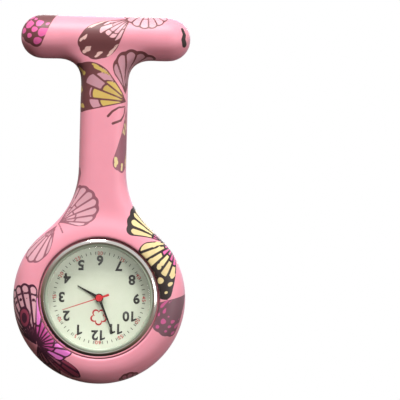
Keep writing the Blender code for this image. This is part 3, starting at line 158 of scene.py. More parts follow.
def bumped(material, shader, value, height):
    """A bump of so many metres from a value from 0 to 1."""
    bump = node(material, "ShaderNodeBump", strength=1.0, distance=height)
    wire(material, value, bump.inputs["Height"])
    wire(material, bump.outputs["Normal"], shader.inputs["Normal"])


def metal(name, colour, roughness, grain=400.0, stretch=(1, 1, 1), wear=0.06, bump=0.5e-6):
    """Metal whose roughness and tone wander a little, as on a handled piece."""
    material, shader = finish_material(name, colour, roughness, 1.0)
    broad = object_noise(material, grain)
    fine = object_noise(material, grain * 12, 2.0, stretch)
    dark = tuple(c * 0.86 for c in colour)
    wire(material, tinted(material, broad, dark, colour), shader.inputs["Base Color"])
    rough = spread(material, fine, roughness - wear / 2, roughness + wear)
    wire(material, rough, shader.inputs["Roughness"])
    bumped(material, shader, fine, bump)
    return material


def plastic(name, colour, roughness, mottling=0.9, bump=1e-6):
    """Moulded plastic or paint with a faint mottling."""
    material, shader = finish_material(name, colour, roughness)
    broad = object_noise(material, 900.0)
    dark = tuple(c * mottling for c in colour)
    wire(material, tinted(material, broad, dark, colour), shader.inputs["Base Color"])
    fine = object_noise(material, 9000.0, 2.0)
    wire(material, spread(material, fine, roughness * 0.85, roughness * 1.15), shader.inputs["Roughness"])
    bumped(material, shader, fine, bump)
    return material


print("material helpers ready")

# %% [markdown]
# ## Shape helpers
# Most of a watch is turned on a lathe, so most of its pieces are a profile spun about the dial
# axis. A profile is a list of (radius, depth) points, with rounded corners drawn as arcs.


# %% Helpers for shapes
def linked(name, data):
    """A new object in the scene, holding some data."""
    made = bpy.data.objects.new(name, data)
    bpy.context.scene.collection.objects.link(made)
    return made


def mesh_from(name, work):
    """The mesh of a bmesh, which is freed."""
    mesh = bpy.data.meshes.new(name)
    work.to_mesh(mesh)
    work.free()
    return mesh


def closed_mesh(name, work):
    """The mesh of a closed bmesh, with its faces turned outward."""
    bmesh.ops.recalc_face_normals(work, faces=work.faces)
    return mesh_from(name, work)


def add_piece(name, mesh, body, material, smooth_angle=None):
    """Put a mesh in the scene, riding on a body and finished in a material."""
    piece = linked(name, mesh)
    mesh.materials.clear()
    mesh.materials.append(material)
    if smooth_angle is not None:
        for face in mesh.polygons:
            face.use_smooth = True
        mesh.set_sharp_from_angle(angle=math.radians(smooth_angle))
    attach(piece, body)
    return piece


def arc(centre, radius, start, end, count=8):
    """Points along an arc given in degrees, with both its ends."""
    angles = np.radians(np.linspace(start, end, count + 1))
    return [(centre[0] + radius * math.cos(a), centre[1] + radius * math.sin(a)) for a in angles]


def circle(radius, count):
    """Points round a circle, as (across, up) pairs."""
    turns = [math.tau * i / count for i in range(count)]
    return [(radius * math.cos(a), radius * math.sin(a)) for a in turns]


def lathe_mesh(name, profile, steps=160):
    """Spin (radius, depth) points about the dial axis. A point on the axis stays one vertex."""
    spun = bmesh.new()
    rings = []
    for radius, depth in profile:
        places = circle(radius, steps) if radius > 0 else [(0, 0)]
        rings.append([spun.verts.new((x, -depth, z)) for x, z in places])
    for inner, outer in zip(rings, rings[1:] + rings[:1]):
        if len(inner) == 1 and len(outer) == 1:
            continue
        for i in range(steps):
            j = (i + 1) % steps
            corners = [inner[i % len(inner)], inner[j % len(inner)]]
            corners += [outer[j % len(outer)], outer[i % len(outer)]]
            spun.faces.new(list(dict.fromkeys(corners)))
    return closed_mesh(name, spun)


print("shape helpers ready")

# %% [markdown]
# ## The silicone holder
# The real holder is one soft moulding: a round bulb that grips the watch head, a flat neck with
# round edges, and a bar across the top. Modelling it face by face would leave hard seams where
# the three meet. Here each is lofted as its own closed shell, the shells are fused by a voxel
# remesh, and the joins are relaxed, as a mould maker would blend them with a ball of clay.

# %% Measures of the moulding
BAR_RADIUS = 5.15 * MM
BAR_HALF = 19.75 * MM
BAR_Z = HOLDER_TOP - BAR_RADIUS
NECK_HALF = 5.5 * MM
NECK_HALF_DEPTH = 4.2 * MM
NECK_EDGE = 3.2 * MM
FLARE_RADIUS = 18.0 * MM
FILLET_RADIUS = 4.2 * MM
FRONT_FLAT, BACK_FLAT = 14.6 * MM, 11.2 * MM
NECK_FROM, NECK_TO = 16.2 * MM, 58 * MM  # both ends lie inside the other two shells
EDGE_POWER = 0.85  # below 1 the bulb's edge is fuller than a round one
BODY_VOXEL = 0.36 * MM
SKIN_VOXEL = 0.29 * MM
DEPTH_MIDDLE = -HOLDER_MIDDLE
DEPTH_HALF = (HOLDER_BACK - HOLDER_FRONT) / 2


def neck_half_width(z):
    """Half the neck's width at a height: flared into the bulb, filleted under the bar."""
    flare_x = NECK_HALF + FLARE_RADIUS
    flare_z = math.sqrt((BULB_RADIUS + FLARE_RADIUS) ** 2 - flare_x**2)
    foot_z = BAR_Z - BAR_RADIUS
    fillet_z = foot_z - FILLET_RADIUS
    if z < flare_z:
        return flare_x - math.sqrt(FLARE_RADIUS**2 - min(z - flare_z, 0) ** 2)
    if z > fillet_z:
        rise = min(z - fillet_z, FILLET_RADIUS)
        return NECK_HALF + FILLET_RADIUS - math.sqrt(FILLET_RADIUS**2 - rise**2)
    return NECK_HALF


def neck_ring(z, corner_count=8):
    """One level of the neck: a rectangle with round corners."""
    half = neck_half_width(z)
    points = []
    for sx, sy, start in ((1, 1, 0), (-1, 1, 90), (-1, -1, 180), (1, -1, 270)):
        centre = (sx * (half - NECK_EDGE), sy * (NECK_HALF_DEPTH - NECK_EDGE))
        for x, y in arc(centre, NECK_EDGE, start, start + 90, corner_count):
            points.append((x, HOLDER_MIDDLE + y, z))
    return points


def bar_ring(x, radius):
    """One ring of the bar, round its own middle."""
    return [(x, HOLDER_MIDDLE + y, BAR_Z + z) for y, z in circle(radius, 48)]


def loft_mesh(name, rings):
    """A closed shell through rings of equal length, flat at both ends."""
    shell = bmesh.new()
    made = [[shell.verts.new(p) for p in ring] for ring in rings]
    count = len(rings[0])
    for low, high in zip(made, made[1:]):
        for i in range(count):
            j = (i + 1) % count
            shell.faces.new((low[i], low[j], high[j], high[i]))
    shell.faces.new(made[0][::-1])
    shell.faces.new(made[-1])
    return closed_mesh(name, shell)


def bulb_mesh():
    """The bulb, turned from its front flat round its full edge to its back flat."""
    profile = [(0, DEPTH_MIDDLE + DEPTH_HALF)]
    for facing, flat in ((1, FRONT_FLAT), (-1, BACK_FLAT)):
        side = []
        for t in np.linspace(math.pi / 2, 0, 25):
            reach, rise = math.cos(t) ** EDGE_POWER, math.sin(t) ** EDGE_POWER
            side.append((flat + (BULB_RADIUS - flat) * reach, DEPTH_MIDDLE + facing * DEPTH_HALF * rise))
        profile += side if facing > 0 else side[-2::-1]
    profile.append((0, DEPTH_MIDDLE - DEPTH_HALF))
    return lathe_mesh("bulb", profile, 200)


neck_levels = np.linspace(NECK_FROM, NECK_TO, 110)
bar_turns = np.linspace(-math.pi / 2, math.pi / 2, 41)[1:-1]
bar_shape = []
for turn in bar_turns:
    end_middle = math.copysign(BAR_HALF - BAR_RADIUS, turn)
    bar_shape.append((end_middle + BAR_RADIUS * math.sin(turn), BAR_RADIUS * math.cos(turn)))
shells = [
    bulb_mesh(),
    loft_mesh("neck", [neck_ring(z) for z in neck_levels]),
    loft_mesh("bar", [bar_ring(x, radius) for x, radius in bar_shape]),
]
print("shells:", [len(mesh.polygons) for mesh in shells])

# %% [markdown]
# ## Fusing and relaxing
# A voxel remesh keeps only the outside of overlapping shells and gives one even skin. Moving
# each vertex toward the middle of its neighbours then relaxes the creases where shells met.
# Numpy does this for every vertex at once, and a weight keeps it to the places that need it.


# %% Fuse, relax, cut, and skin again
def evaluated_mesh(piece, name):
    """The mesh of an object with its modifiers applied."""
    graph = bpy.context.evaluated_depsgraph_get()
    graph.update()
    return bpy.data.meshes.new_from_object(piece.evaluated_get(graph), depsgraph=graph)


def remeshed(mesh, voxel):
    """One even skin round everything in a mesh."""
    piece = linked("skin", mesh)
    skin = piece.modifiers.new("skin", "REMESH")
    skin.mode = "VOXEL"
    skin.voxel_size = voxel
    result = evaluated_mesh(piece, "skin")
    bpy.data.objects.remove(piece)
    return result


def vertices_of(mesh):
    """The places of a mesh's vertices, one row each."""
    points = np.empty(len(mesh.vertices) * 3)
    mesh.vertices.foreach_get("co", points)
    return points.reshape(-1, 3)


def relax(mesh, rounds, weight):
    """Move each vertex toward its neighbours' middle, by a weight from 0 to 1."""
    points = vertices_of(mesh)
    ends = np.empty(len(mesh.edges) * 2, int)
    mesh.edges.foreach_get("vertices", ends)
    a, b = ends[0::2], ends[1::2]
    count = len(points)
    degree = np.bincount(a, minlength=count) + np.bincount(b, minlength=count)
    share = np.broadcast_to(weight, count)[:, None]
    for _ in range(rounds):
        total = np.empty_like(points)
        for k in range(3):
            total[:, k] = np.bincount(a, points[b, k], count) + np.bincount(b, points[a, k], count)
        points += share * (total / degree[:, None] - points)
    mesh.vertices.foreach_set("co", points.ravel())
    mesh.update()


def joined(name, meshes):
    """One mesh holding several."""
    whole = bmesh.new()
    for mesh in meshes:
        whole.from_mesh(mesh)
    return mesh_from(name, whole)


def near(value, low, high, soft):
    """1 between two values, falling to 0 over a soft distance outside them."""
    outside = np.maximum(np.maximum(low - value, value - high), 0)
    return np.clip(1 - outside / soft, 0, 1)


def zone(points, low, high, soft, half_width):
    """1 between two heights of the holder, falling to 0 outside them. All in millimetres."""
    beside = near(abs(points[:, 0]), 0, half_width * MM, 3 * MM)
    return near(points[:, 2], low * MM, high * MM, soft * MM) * beside


EVERYWHERE, AT_JOINS = 0.12, 0.5  # how strongly each round relaxes the body
body_mesh = remeshed(joined("shells", shells), BODY_VOXEL)
body_points = vertices_of(body_mesh)
at_flare, at_bar = zone(body_points, 12, 24, 4, 14), zone(body_points, 49, 58, 3, 9)
relax(body_mesh, 60, EVERYWHERE + AT_JOINS * np.maximum(at_flare, at_bar))
print("fused body:", len(body_mesh.vertices), "vertices")

# %% [markdown]
# ## The pockets
# The watch head sits in a stepped pocket that opens to the front, with a round window behind it,
# and the brooch lies in a slot in the back of the bar. They are cut with Booleans after the
# relaxing, so that they stay true, and the last fine remesh gives every rim the small round edge
# that silicone has when it leaves its mould.

# %% Cut the pockets
HEAD_BORE, BEZEL_BORE, WINDOW = 12.87 * MM, BEZEL_RADIUS + 0.08 * MM, 10.35 * MM  # radii
POCKET_FLOOR = 0.05 * MM
BEZEL_STEP = 5.5 * MM
WINDOW_ROUND = 0.9 * MM
SLOT_FLOOR = 0.75 * MM
SLOT_MARGIN, SLOT_HALF_HEIGHT = 0.6 * MM, 2.5 * MM
NOTCH_LOW = (-14.95 * MM, -5.6 * MM, -1.9 * MM)  # room for the crown in the pocket's wall
NOTCH_HIGH = (-6.4 * MM, -1.4 * MM, 1.9 * MM)
PIN_HOLE_PITCH, PIN_HOLE_RADIUS = 5.9 * MM, 1.2 * MM
PIN_HOLE_FLOOR = -3.75 * MM
front_depth, back_depth = -HOLDER_FRONT, -HOLDER_BACK
window_lip = arc((WINDOW + WINDOW_ROUND, back_depth + WINDOW_ROUND), WINDOW_ROUND, 180, 270, 6)
pocket_profile = [
    (0, front_depth + MM),
    (BEZEL_BORE, front_depth + MM),
    (BEZEL_BORE, BEZEL_STEP),
    (HEAD_BORE, BEZEL_STEP),
    (HEAD_BORE, POCKET_FLOOR),
    *window_lip[:-1],
    (WINDOW + WINDOW_ROUND, back_depth - MM),
    (0, back_depth - MM),
]


def box_mesh(low, high):
    """A closed box between two corners, for cutting."""
    (x0, y0, z0), (x1, y1, z1) = low, high
    rings = [[(x0, y0, z), (x1, y0, z), (x1, y1, z), (x0, y1, z)] for z in (z0, z1)]
    return loft_mesh("box", rings)


def rod_mesh(x, z, radius, near_y, far_y):
    """A closed round rod along Y, for cutting."""
    ends = [[(x + a, y, z + b) for a, b in circle(radius, 40)] for y in (near_y, far_y)]
    return loft_mesh("rod", ends)


def cut_out(mesh, *cutters):
    """Cut closed shells out of a mesh."""
    piece = linked("cut", mesh)
    tools = [linked("cutter", cutter) for cutter in cutters]
    for tool in tools:
        step = piece.modifiers.new("cut", "BOOLEAN")
        step.operation, step.object, step.solver = "DIFFERENCE", tool, "EXACT"
    result = evaluated_mesh(piece, "cut")
    for used in (piece, *tools):
        bpy.data.objects.remove(used)
    return result


past_back = HOLDER_BACK + MM
pocket = lathe_mesh("pocket", pocket_profile, 200)
notch = box_mesh(NOTCH_LOW, NOTCH_HIGH)
slot = box_mesh(
    (base_low.x - SLOT_MARGIN, -SLOT_FLOOR, BAR_Z - SLOT_HALF_HEIGHT),
    (base_high.x + SLOT_MARGIN, past_back, BAR_Z + SLOT_HALF_HEIGHT),
)
pin_holes = [
    rod_mesh(i * PIN_HOLE_PITCH, BAR_Z, PIN_HOLE_RADIUS, PIN_HOLE_FLOOR, past_back)
    for i in (-1, 0, 1, 2)
]
cut_mesh = cut_out(body_mesh, pocket, notch, slot, *pin_holes)
skin_mesh = remeshed(cut_mesh, SKIN_VOXEL)
relax(skin_mesh, 4, 0.5)
print("skin:", len(skin_mesh.vertices), "vertices,", len(skin_mesh.polygons), "faces")

# %% [markdown]
# ## The printed butterflies
# A patterned holder is dyed through a transfer film that is wrapped round it, so the print runs
# over the round edges and fades out behind them. An image texture would be one way. Here each
# wing is a small formula instead: a fan of cells between veins, seen from the wing's root. For
# every vertex it gives two distances, one to the wing's outline and one to its inked lines. The
# shader cuts sharp edges from those distances, so lines can be finer than the mesh.

# %% Colours of the inks
CLEAR_OF_PRINT = -2.0  # millimetres outside every wing


def srgb(*colour):
    """A colour on the 0-255 scale as linear light."""
    return tuple(((c / 255 + 0.055) / 1.055) ** 2.4 if c > 10 else c / 3295 for c in colour)


BROWN, MAUVE, BLACK = srgb(112, 62, 66), srgb(150, 92, 108), srgb(40, 27, 27)
PLUM, GREY, SLATE = srgb(70, 18, 48), srgb(120, 84, 96), srgb(98, 84, 108)
CREAM, YELLOW, HOT_PINK = srgb(232, 214, 158), srgb(210, 182, 98), srgb(236, 104, 172)
ROSE, DUSKY, MAGENTA = srgb(224, 170, 184), srgb(203, 150, 164), srgb(196, 76, 152)
BLUSH, LILAC, ORCHID = srgb(244, 190, 200), srgb(226, 212, 246), srgb(226, 120, 204)
WINE, SHADE_PINK, PALE = srgb(150, 58, 86), srgb(176, 104, 124), srgb(226, 232, 232)
FRONT_SILICONE, BACK_SILICONE = srgb(240, 158, 177), srgb(238, 188, 226)
print("the silicone in linear light:", [round(c, 3) for c in FRONT_SILICONE])

# %% [markdown]
# ## One wing as a fan of cells
# Seen from its root, a wing is a fan: the angle says which cell a point is in, and the distance
# says how near it is to the rim. Every line on the wing is then the place where some distance
# passes zero. A larger value wins where inks meet, so lines are added with a maximum and spots
# are taken out of them with a minimum.
#
# A recipe gives the number of cells, where across the fan the wing reaches furthest (`peak`) and
# how far its two sides reach (`low`, `high`). `margin` is the dark border, `split` the share of
# the reach where the inner cells end and `apex` the share past which the tip is dark. `scallop`
# bows the rim between the veins, `spot` is the radius of the pale spots and `pitch` spaces them.

# %% The formula of a wing
RIM_POWER = 2.2  # how late the rim falls away beside its furthest point
SPOT_ROWS = ((0.5, 1.0), (1.7, 1.25), (2.9, 0.9))  # in spot radii: how far in, and how large
EYE_RING = 1.9  # an eye's outer ring, in radii of its middle
CORNER_BLEND = 0.9  # this and all below are millimetres
EDGE_LINE, BAND_WIDTH = 0.28, 0.9  # the coloured band along a rim
BOW_IN, BOW_RADIUS = 2.0, 0.62  # a crescent mark is a disc less a smaller one
HOLLOW_IN, HOLLOW_RADIUS = 1.6, 0.55
DOT_IN, DOT_RADIUS, SMALL_DOT_RADIUS = 3.6, 0.38, 0.15
EYE_LINE = 0.18


def smallest(a, b, blend):
    """The smaller of two distances, with the corner between them rounded."""
    h = np.clip(0.5 + 0.5 * (b - a) / blend, 0, 1)
    return b + (a - b) * h - blend * h * (1 - h)


def wing(at, aim, spread, reach, ink, inner, outer, **shape):
    """A wing's recipe: its root, aim and half spread in degrees, reach in millimetres, and inks."""
    recipe = {
        "cells": 7, "peak": 0.0, "low": 0.6, "high": 0.6, "margin": 0.8, "outline": EDGE_LINE,
        "vein": 0.16, "split": 0.5, "apex": 2.0, "apex_from": -1.0, "scallop": 0.25, "spot": 0.0,
        "pitch": 1.15, "spot_ink": None, "band": None, "marks": False, "eye": None,
    }
    recipe.update(shape)
    recipe.update(at=at, aim=aim, spread=spread, reach=reach, ink=ink, inner=inner, outer=outer)
    return recipe


def wing_layer(w, x, z):
    """Distances and colours of one wing at points in millimetres: outline, ink and cell."""
    dx, dz = x - w["at"][0], z - w["at"][1]
    r = np.hypot(dx, dz) + 1e-6
    swing = np.arctan2(dz, dx) - math.radians(w["aim"])
    swing = (swing + math.pi) % math.tau - math.pi
    half = math.radians(w["spread"])
    t = np.clip(swing / half, -1, 1)
    side = np.where(t > w["peak"], 1.0, -1.0)
    share = np.abs(t - w["peak"]) / (1 - side * w["peak"])
    end = np.where(side > 0, w["high"], w["low"])
    place = (t + 1) / 2 * w["cells"]
    cell = np.clip(np.floor(place), 0, w["cells"] - 1)
    across = np.abs(np.sin(math.pi * place))
    lobes = (1 - across) if w["scallop"] > 0 else across
    rim = w["reach"] * (1 - (1 - end) * share**RIM_POWER) - abs(w["scallop"]) * lobes
    beside = r * np.sin(np.clip(half - np.abs(swing), -math.pi / 2, math.pi / 2))
    cover = smallest(rim - r, beside, CORNER_BLEND)
    vein_width = w["vein"] * (0.7 + 0.6 * r / w["reach"])
    vein = vein_width - r * np.sin(np.abs(place - np.round(place)) * 2 * half / w["cells"])
    split = w["split"] * rim * (1 + 0.14 * np.sin(2.3 * cell + w["reach"]))
    ink = np.maximum(vein, w["outline"] - cover)
    ink = np.maximum(ink, w["vein"] - np.abs(r - split))
    depth = rim - r
    ink = np.maximum(ink, w["margin"] * (0.75 + 0.5 * (1 - across)) - depth)
    apex = w["apex"] * rim * (1 + 0.1 * np.sin(1.7 * cell + 0.6))
    ink = np.where(t > w["apex_from"], np.maximum(ink, r - apex), ink)
    middle = (cell + 0.5) / w["cells"] * 2 * half - half
    colour = np.where((r < split)[:, None], w["inner"], w["outer"])
    colour = colour * (1 + 0.07 * np.sin(4.1 * cell + 1))[:, None]
    if w["spot"]:
        for k, (distance, size) in enumerate(SPOT_ROWS):
            if k and w["apex"] > 1:  # without a dark tip there is only the rim's own row
                break
            centre = rim - w["spot"] * (0.95 + distance * w["pitch"]) - 0.25 * np.sin(2.9 * cell + k)
            turn = middle * (1 + 0.05 * math.sin(k))
            radius = w["spot"] * size * (0.8 + 0.3 * np.sin(3.3 * cell + 2 * k))
            gap = np.hypot(r - centre, r * (swing - turn)) - radius
            ink = np.minimum(ink, gap)
            if w["spot_ink"] is not None:
                colour = np.where((gap < 0.15)[:, None], w["spot_ink"], colour)
    if w["band"] is not None:
        inside = depth - EDGE_LINE
        lines = np.maximum(EDGE_LINE - depth, 0.2 - np.abs(inside - BAND_WIDTH))
        ink = np.where(inside < 1.0, lines, ink)
        colour = np.where((inside < 0.85)[:, None], w["band"], colour)
    if w["marks"]:
        bow, hollow, dot = (
            np.hypot(r - rim + inward, r * (swing - middle)) for inward in (BOW_IN, HOLLOW_IN, DOT_IN)
        )
        ink = np.maximum(ink, np.minimum(BOW_RADIUS - bow, hollow - HOLLOW_RADIUS))
        ink = np.maximum(ink, np.where(cell % 3 == 1, SMALL_DOT_RADIUS, DOT_RADIUS) - dot)
    if w["eye"] is not None:
        ex, ez, wide, tall, ring = w["eye"]
        size = min(wide, tall)
        ring_radius = size * EYE_RING
        gap = np.hypot((x - ex) / wide, (z - ez) / tall) * size
        ink = np.where(gap < ring_radius, size - gap, ink)
        ink = np.maximum(ink, EYE_LINE - np.abs(gap - ring_radius))
        colour = np.where((gap < ring_radius)[:, None], ring, colour)
    return cover, ink, colour


def stroke_layer(points, width, x, z):
    """A tapering line through points, such as a feeler."""
    best = np.full(len(x), 1e3)
    total = len(points) - 1
    for k, ((ax, az), (bx, bz)) in enumerate(zip(points, points[1:])):
        ux, uz = bx - ax, bz - az
        s = np.clip(((x - ax) * ux + (z - az) * uz) / (ux * ux + uz * uz), 0, 1)
        swell = width * (0.55 + 0.45 * (k + s) / total)
        best = np.minimum(best, np.hypot(x - ax - s * ux, z - az - s * uz) - swell)
    return -best


print("wing formula ready")

# %% [markdown]
# ## Where the butterflies lie
# Each row places one wing on the flattened front or back of the holder, in millimetres from the
# dial's middle, as a designer lays motifs on a sheet. The sheets sit a degree or two askew.

# %% Wings of the front sheet
FRONT_LEAN, BACK_LEAN = math.radians(1.43), math.radians(1.9)
speckled = {"apex": 0.5, "apex_from": -1.0, "spot": 0.55, "margin": 1.0}
front_wings = [
    wing((-7.4, 72.0), 222, 24, 16.4, BROWN, HOT_PINK, HOT_PINK, cells=5, low=0.95, high=0.95,
         pitch=1.9, **{**speckled, "apex": 0.2, "spot": 0.95}),
    wing((7.6, 65.6), 218, 29, 14.6, BROWN, ROSE, BLUSH, cells=5, peak=-0.1, low=0.5, high=0.62,
         split=0.4, **{**speckled, "apex": 0.55, "spot": 0.5, "spot_ink": srgb(238, 196, 190)}),
    wing((11.4, 69.6), 262, 62, 7.4, BROWN, ROSE, ROSE, cells=7, low=0.8, high=0.8, margin=0.45,
         outline=0.22),
    wing((6.8, 47.2), 86, 39, 10.4, BROWN, DUSKY, DUSKY, cells=5, peak=-0.1, low=0.95, high=0.6,
         margin=0.9, scallop=0.3, vein=0.2, split=0.2),
    wing((7.2, 45.4), 158, 33, 15.6, BROWN, YELLOW, DUSKY, cells=4, peak=-0.1, low=0.62, high=0.85,
         split=0.52, apex=0.68, apex_from=-0.9, spot=0.62, spot_ink=YELLOW, vein=0.24),
    wing((7.6, 44.0), 262, 12, 15.2, MAUVE, CREAM, CREAM, cells=3, low=0.9, high=0.72, apex=0.4,
         spot=0.48, spot_ink=CREAM),
    wing((-8.0, 24.0), 68, 19, 6.8, MAUVE, SHADE_PINK, SHADE_PINK, cells=3, margin=0.5, vein=0.2),
    wing((-9.9, 17.9), 26, 41, 11.0, MAUVE, ROSE, ROSE, cells=7, peak=0.2, low=0.5, high=0.8,
         split=0.45, margin=0.85, vein=0.18, scallop=0.25),
    wing((-10.2, 17.4), 235, 29, 11.0, MAUVE, ROSE, ROSE, cells=5, peak=-0.1, low=0.7, high=0.45,
         split=0.3, margin=0.6, vein=0.18),
    wing((17.4, 13.6), 145, 30, 12.0, BLACK, HOT_PINK, CREAM, cells=5, peak=-0.1, low=0.75, high=0.9,
         split=0.38, margin=1.5, vein=0.28, scallop=0.3),
    wing((20.5, 14.5), 222, 33, 16.0, BLACK, HOT_PINK, CREAM, cells=6, peak=0.7, low=0.64, high=0.95,
         split=0.42, margin=0.6, vein=0.28, apex=0.62, apex_from=0.0, spot=0.62, pitch=3.0,
         spot_ink=CREAM, scallop=0.2),
    wing((22.0, 1.0), 222, 28, 12.4, GREY, MAGENTA, MAGENTA, cells=5, low=0.75, high=0.85, pitch=2.6,
         spot_ink=srgb(206, 96, 150), **{**speckled, "apex": 0.15, "spot": 0.5}),
    wing((7.5, -23.0), 90, 50, 5.6, BROWN, SHADE_PINK, SHADE_PINK, cells=5),
    wing((-14.3, -10.8), 285, 30, 10.5, PLUM, SHADE_PINK, SHADE_PINK, cells=4, margin=0.5, vein=0.24),
    wing((-14.2, -11.2), 322, 13, 12.4, PLUM, SHADE_PINK, WINE, cells=3, margin=0.6, vein=0.22),
    wing((-14.4, -10.8), 28, 66, 11.5, PLUM, MAGENTA, ORCHID, cells=9, peak=0.7, low=0.55, high=1.0,
         split=0.45, margin=0.5, vein=0.22),
    wing((-14.6, -10.9), 122, 34, 14.8, PLUM, SHADE_PINK, ROSE, cells=8, peak=-0.4, low=0.92, high=0.8,
         split=0.32, margin=0.75, vein=0.24, scallop=0.45, marks=True,
         eye=(-17.4, -4.6, 0.75, 1.25, WINE)),
]
front_strokes = [
    ([(6.6, 44.3), (4.6, 44.1), (3.1, 43.2), (2.1, 42.1)], 0.3, BROWN),
    ([(6.8, 44.0), (6.3, 42.4), (5.2, 41.1), (3.2, 40.4)], 0.3, BROWN),
    ([(-9.9, 17.9), (-9.1, 16.7), (-8.4, 15.2)], 0.2, MAUVE),
    ([(-10.1, 17.6), (-10.6, 16.0), (-11.0, 14.4)], 0.14, MAUVE),
    ([(19.7, 62.5), (20.2, 61.0), (19.9, 59.8), (20.3, 58.4)], 0.75, BLACK),
]
print(len(front_wings), "wings on the front sheet")

# %% [markdown]
# ## The back sheet
# The back is seen from behind, so its sheet is drawn that way round, with X to the left. Its
# wings are lilac and orchid, and three of them have a cream band along a deeply notched rim.

# %% Wings of the back sheet
back_wings = [
    wing((-8.2, 68.0), 207, 28, 14.5, SLATE, PALE, PALE, cells=5,
         **{**speckled, "apex": 0.2, "spot": 0.9}),
    wing((-16.2, 47.6), 93, 34, 11.2, BLACK, LILAC, LILAC, cells=7, low=0.92, high=0.95, margin=0.2,
         split=0.1, vein=0.2, scallop=-0.8, band=CREAM, marks=True),
    wing((19.8, 56.0), 150, 42, 15.5, SLATE, MAGENTA, ORCHID, cells=6, low=0.85, high=0.8, split=0.55,
         apex=0.66, apex_from=-0.6, spot=0.8, spot_ink=ORCHID, vein=0.18),
    wing((-7.4, 45.6), 40, 54, 13.6, BLACK, ORCHID, LILAC, cells=8, peak=-0.05, low=0.52, high=0.6,
         split=0.44, margin=0.2, vein=0.24, scallop=-0.8, band=CREAM, marks=True,
         eye=(-4.2, 48.3, 1.15, 1.05, ORCHID)),
    wing((-7.4, 45.0), 310, 39, 16.8, BLACK, ROSE, LILAC, cells=9, peak=-0.25, low=0.5, high=0.52,
         split=0.55, margin=0.2, vein=0.26, scallop=-0.6, band=CREAM, marks=True),
    wing((8.8, 28.8), 218, 24, 7.0, SLATE, PALE, PALE, cells=3,
         **{**speckled, "apex": 0.1, "spot": 0.45}),
    wing((-15.4, 21.4), 312, 24, 7.0, SLATE, PALE, PALE, cells=3,
         **{**speckled, "apex": 0.1, "spot": 0.45}),
    wing((-4.0, 4.2), 256, 20, 18.8, SLATE, MAGENTA, ORCHID, cells=5, peak=0.3, low=0.7, high=0.8,
         apex=0.5, spot=0.75, spot_ink=ORCHID),
    wing((-2.8, 4.8), 181, 44, 13.8, SLATE, LILAC, ORCHID, cells=8, low=0.72, high=0.78, split=0.62,
         margin=0.9, vein=0.2, scallop=0.4),
    wing((1.4, 8.4), -3, 39, 15.8, SLATE, LILAC, ORCHID, cells=6, low=0.62, high=0.72, split=0.45,
         apex=0.68, apex_from=-1.0, spot=0.72, spot_ink=ORCHID, margin=0.9, vein=0.2),
    wing((-0.4, 6.8), 80, 43, 14.0, SLATE, LILAC, ORCHID, cells=8, low=0.68, high=0.72, split=0.62,
         margin=0.9, vein=0.2, scallop=0.4),
    wing((15.0, -10.8), 88, 38, 10.3, MAUVE, LILAC, ROSE, cells=7, low=0.7, high=0.62, split=0.45,
         margin=0.75, vein=0.18),
    wing((15.0, -11.4), 207, 26, 10.6, MAUVE, ROSE, ROSE, cells=6, low=0.8, high=0.6, split=0.4,
         margin=0.6, vein=0.18),
    wing((-21.5, -3.0), 309, 16, 17.0, BLACK, CREAM, CREAM, cells=3, low=0.85, high=0.8, apex=0.2,
         spot=0.6, pitch=2.4, spot_ink=srgb(214, 212, 190)),
]
back_strokes = [
    ([(-4.4, 9.4), (-6.0, 10.9), (-7.4, 12.8)], 0.3, SLATE),
    ([(14.8, -10.7), (12.9, -10.2), (10.8, -9.3)], 0.22, SLATE),
]
print(len(back_wings), "wings on the back sheet")

# %% [markdown]
# ## Laying the print on the skin
# The film meets the front square on and slides round the edge, so a point on the edge takes the
# pattern from further out on the sheet. The turn of the surface says how far round it is. Past
# the edge the front film thins out and the back film takes over.

# %% Print distances at every vertex
EDGE_TURN_RADIUS = 4.6  # millimetres of edge that the film bends over
HOLE_SHADE = srgb(34, 28, 34)  # painted shade: the dark colour given to the insides of the bar's deep holes
WRAP_START, WRAP_END = math.radians(96), math.radians(122)
FADE_DEPTH = 4.0  # millimetres taken off every wing by the end of the wrap
POCKET_MARGIN = 0.45 * MM
TINT_TURN = math.radians(60)  # where the front's pink starts to give way, and over how much turn
HOLE_REACH = 1.15 * PIN_HOLE_RADIUS  # takes in the hole's rounded rim


def outer_normals(points):
    """The uncut body's normals at the skin's points, and how far below it each point lies."""
    tree = BVHTree.FromPolygons(
        [v.co for v in body_mesh.vertices], [tuple(p.vertices) for p in body_mesh.polygons]
    )
    smooth = np.array([v.normal for v in body_mesh.vertices])
    normals, depths = np.empty_like(points), np.empty(len(points))
    for i, point in enumerate(points):
        _, _, face, distance = tree.find_nearest(Vector(point))
        corners = list(body_mesh.polygons[face].vertices)
        normals[i] = smooth[corners].mean(0)
        depths[i] = distance
    return normals / np.linalg.norm(normals, axis=1)[:, None], depths


def sheet_layers(wings, strokes, x, z, fade):
    """The topmost wing at each point of one sheet."""
    cover = np.full(len(x), CLEAR_OF_PRINT)
    plain = np.ones((len(x), 3))
    ink, cell, dye = np.full(len(x), -1.0), plain, plain
    layers = [(*wing_layer(w, x, z), w["ink"]) for w in wings]
    for stroke, width, colour in strokes:
        layers.append((stroke_layer(stroke, width, x, z), np.ones(len(x)), plain * colour, colour))
    for layer_cover, layer_ink, layer_cell, layer_dye in layers:
        layer_cover = layer_cover - fade
        top = (layer_cover > 0) | (layer_cover > cover)
        cover = np.where(top, layer_cover, cover)
        ink = np.where(top, layer_ink, ink)
        cell = np.where(top[:, None], layer_cell, cell)
        dye = np.where(top[:, None], np.array(layer_dye), dye)
    return cover, ink, cell, dye


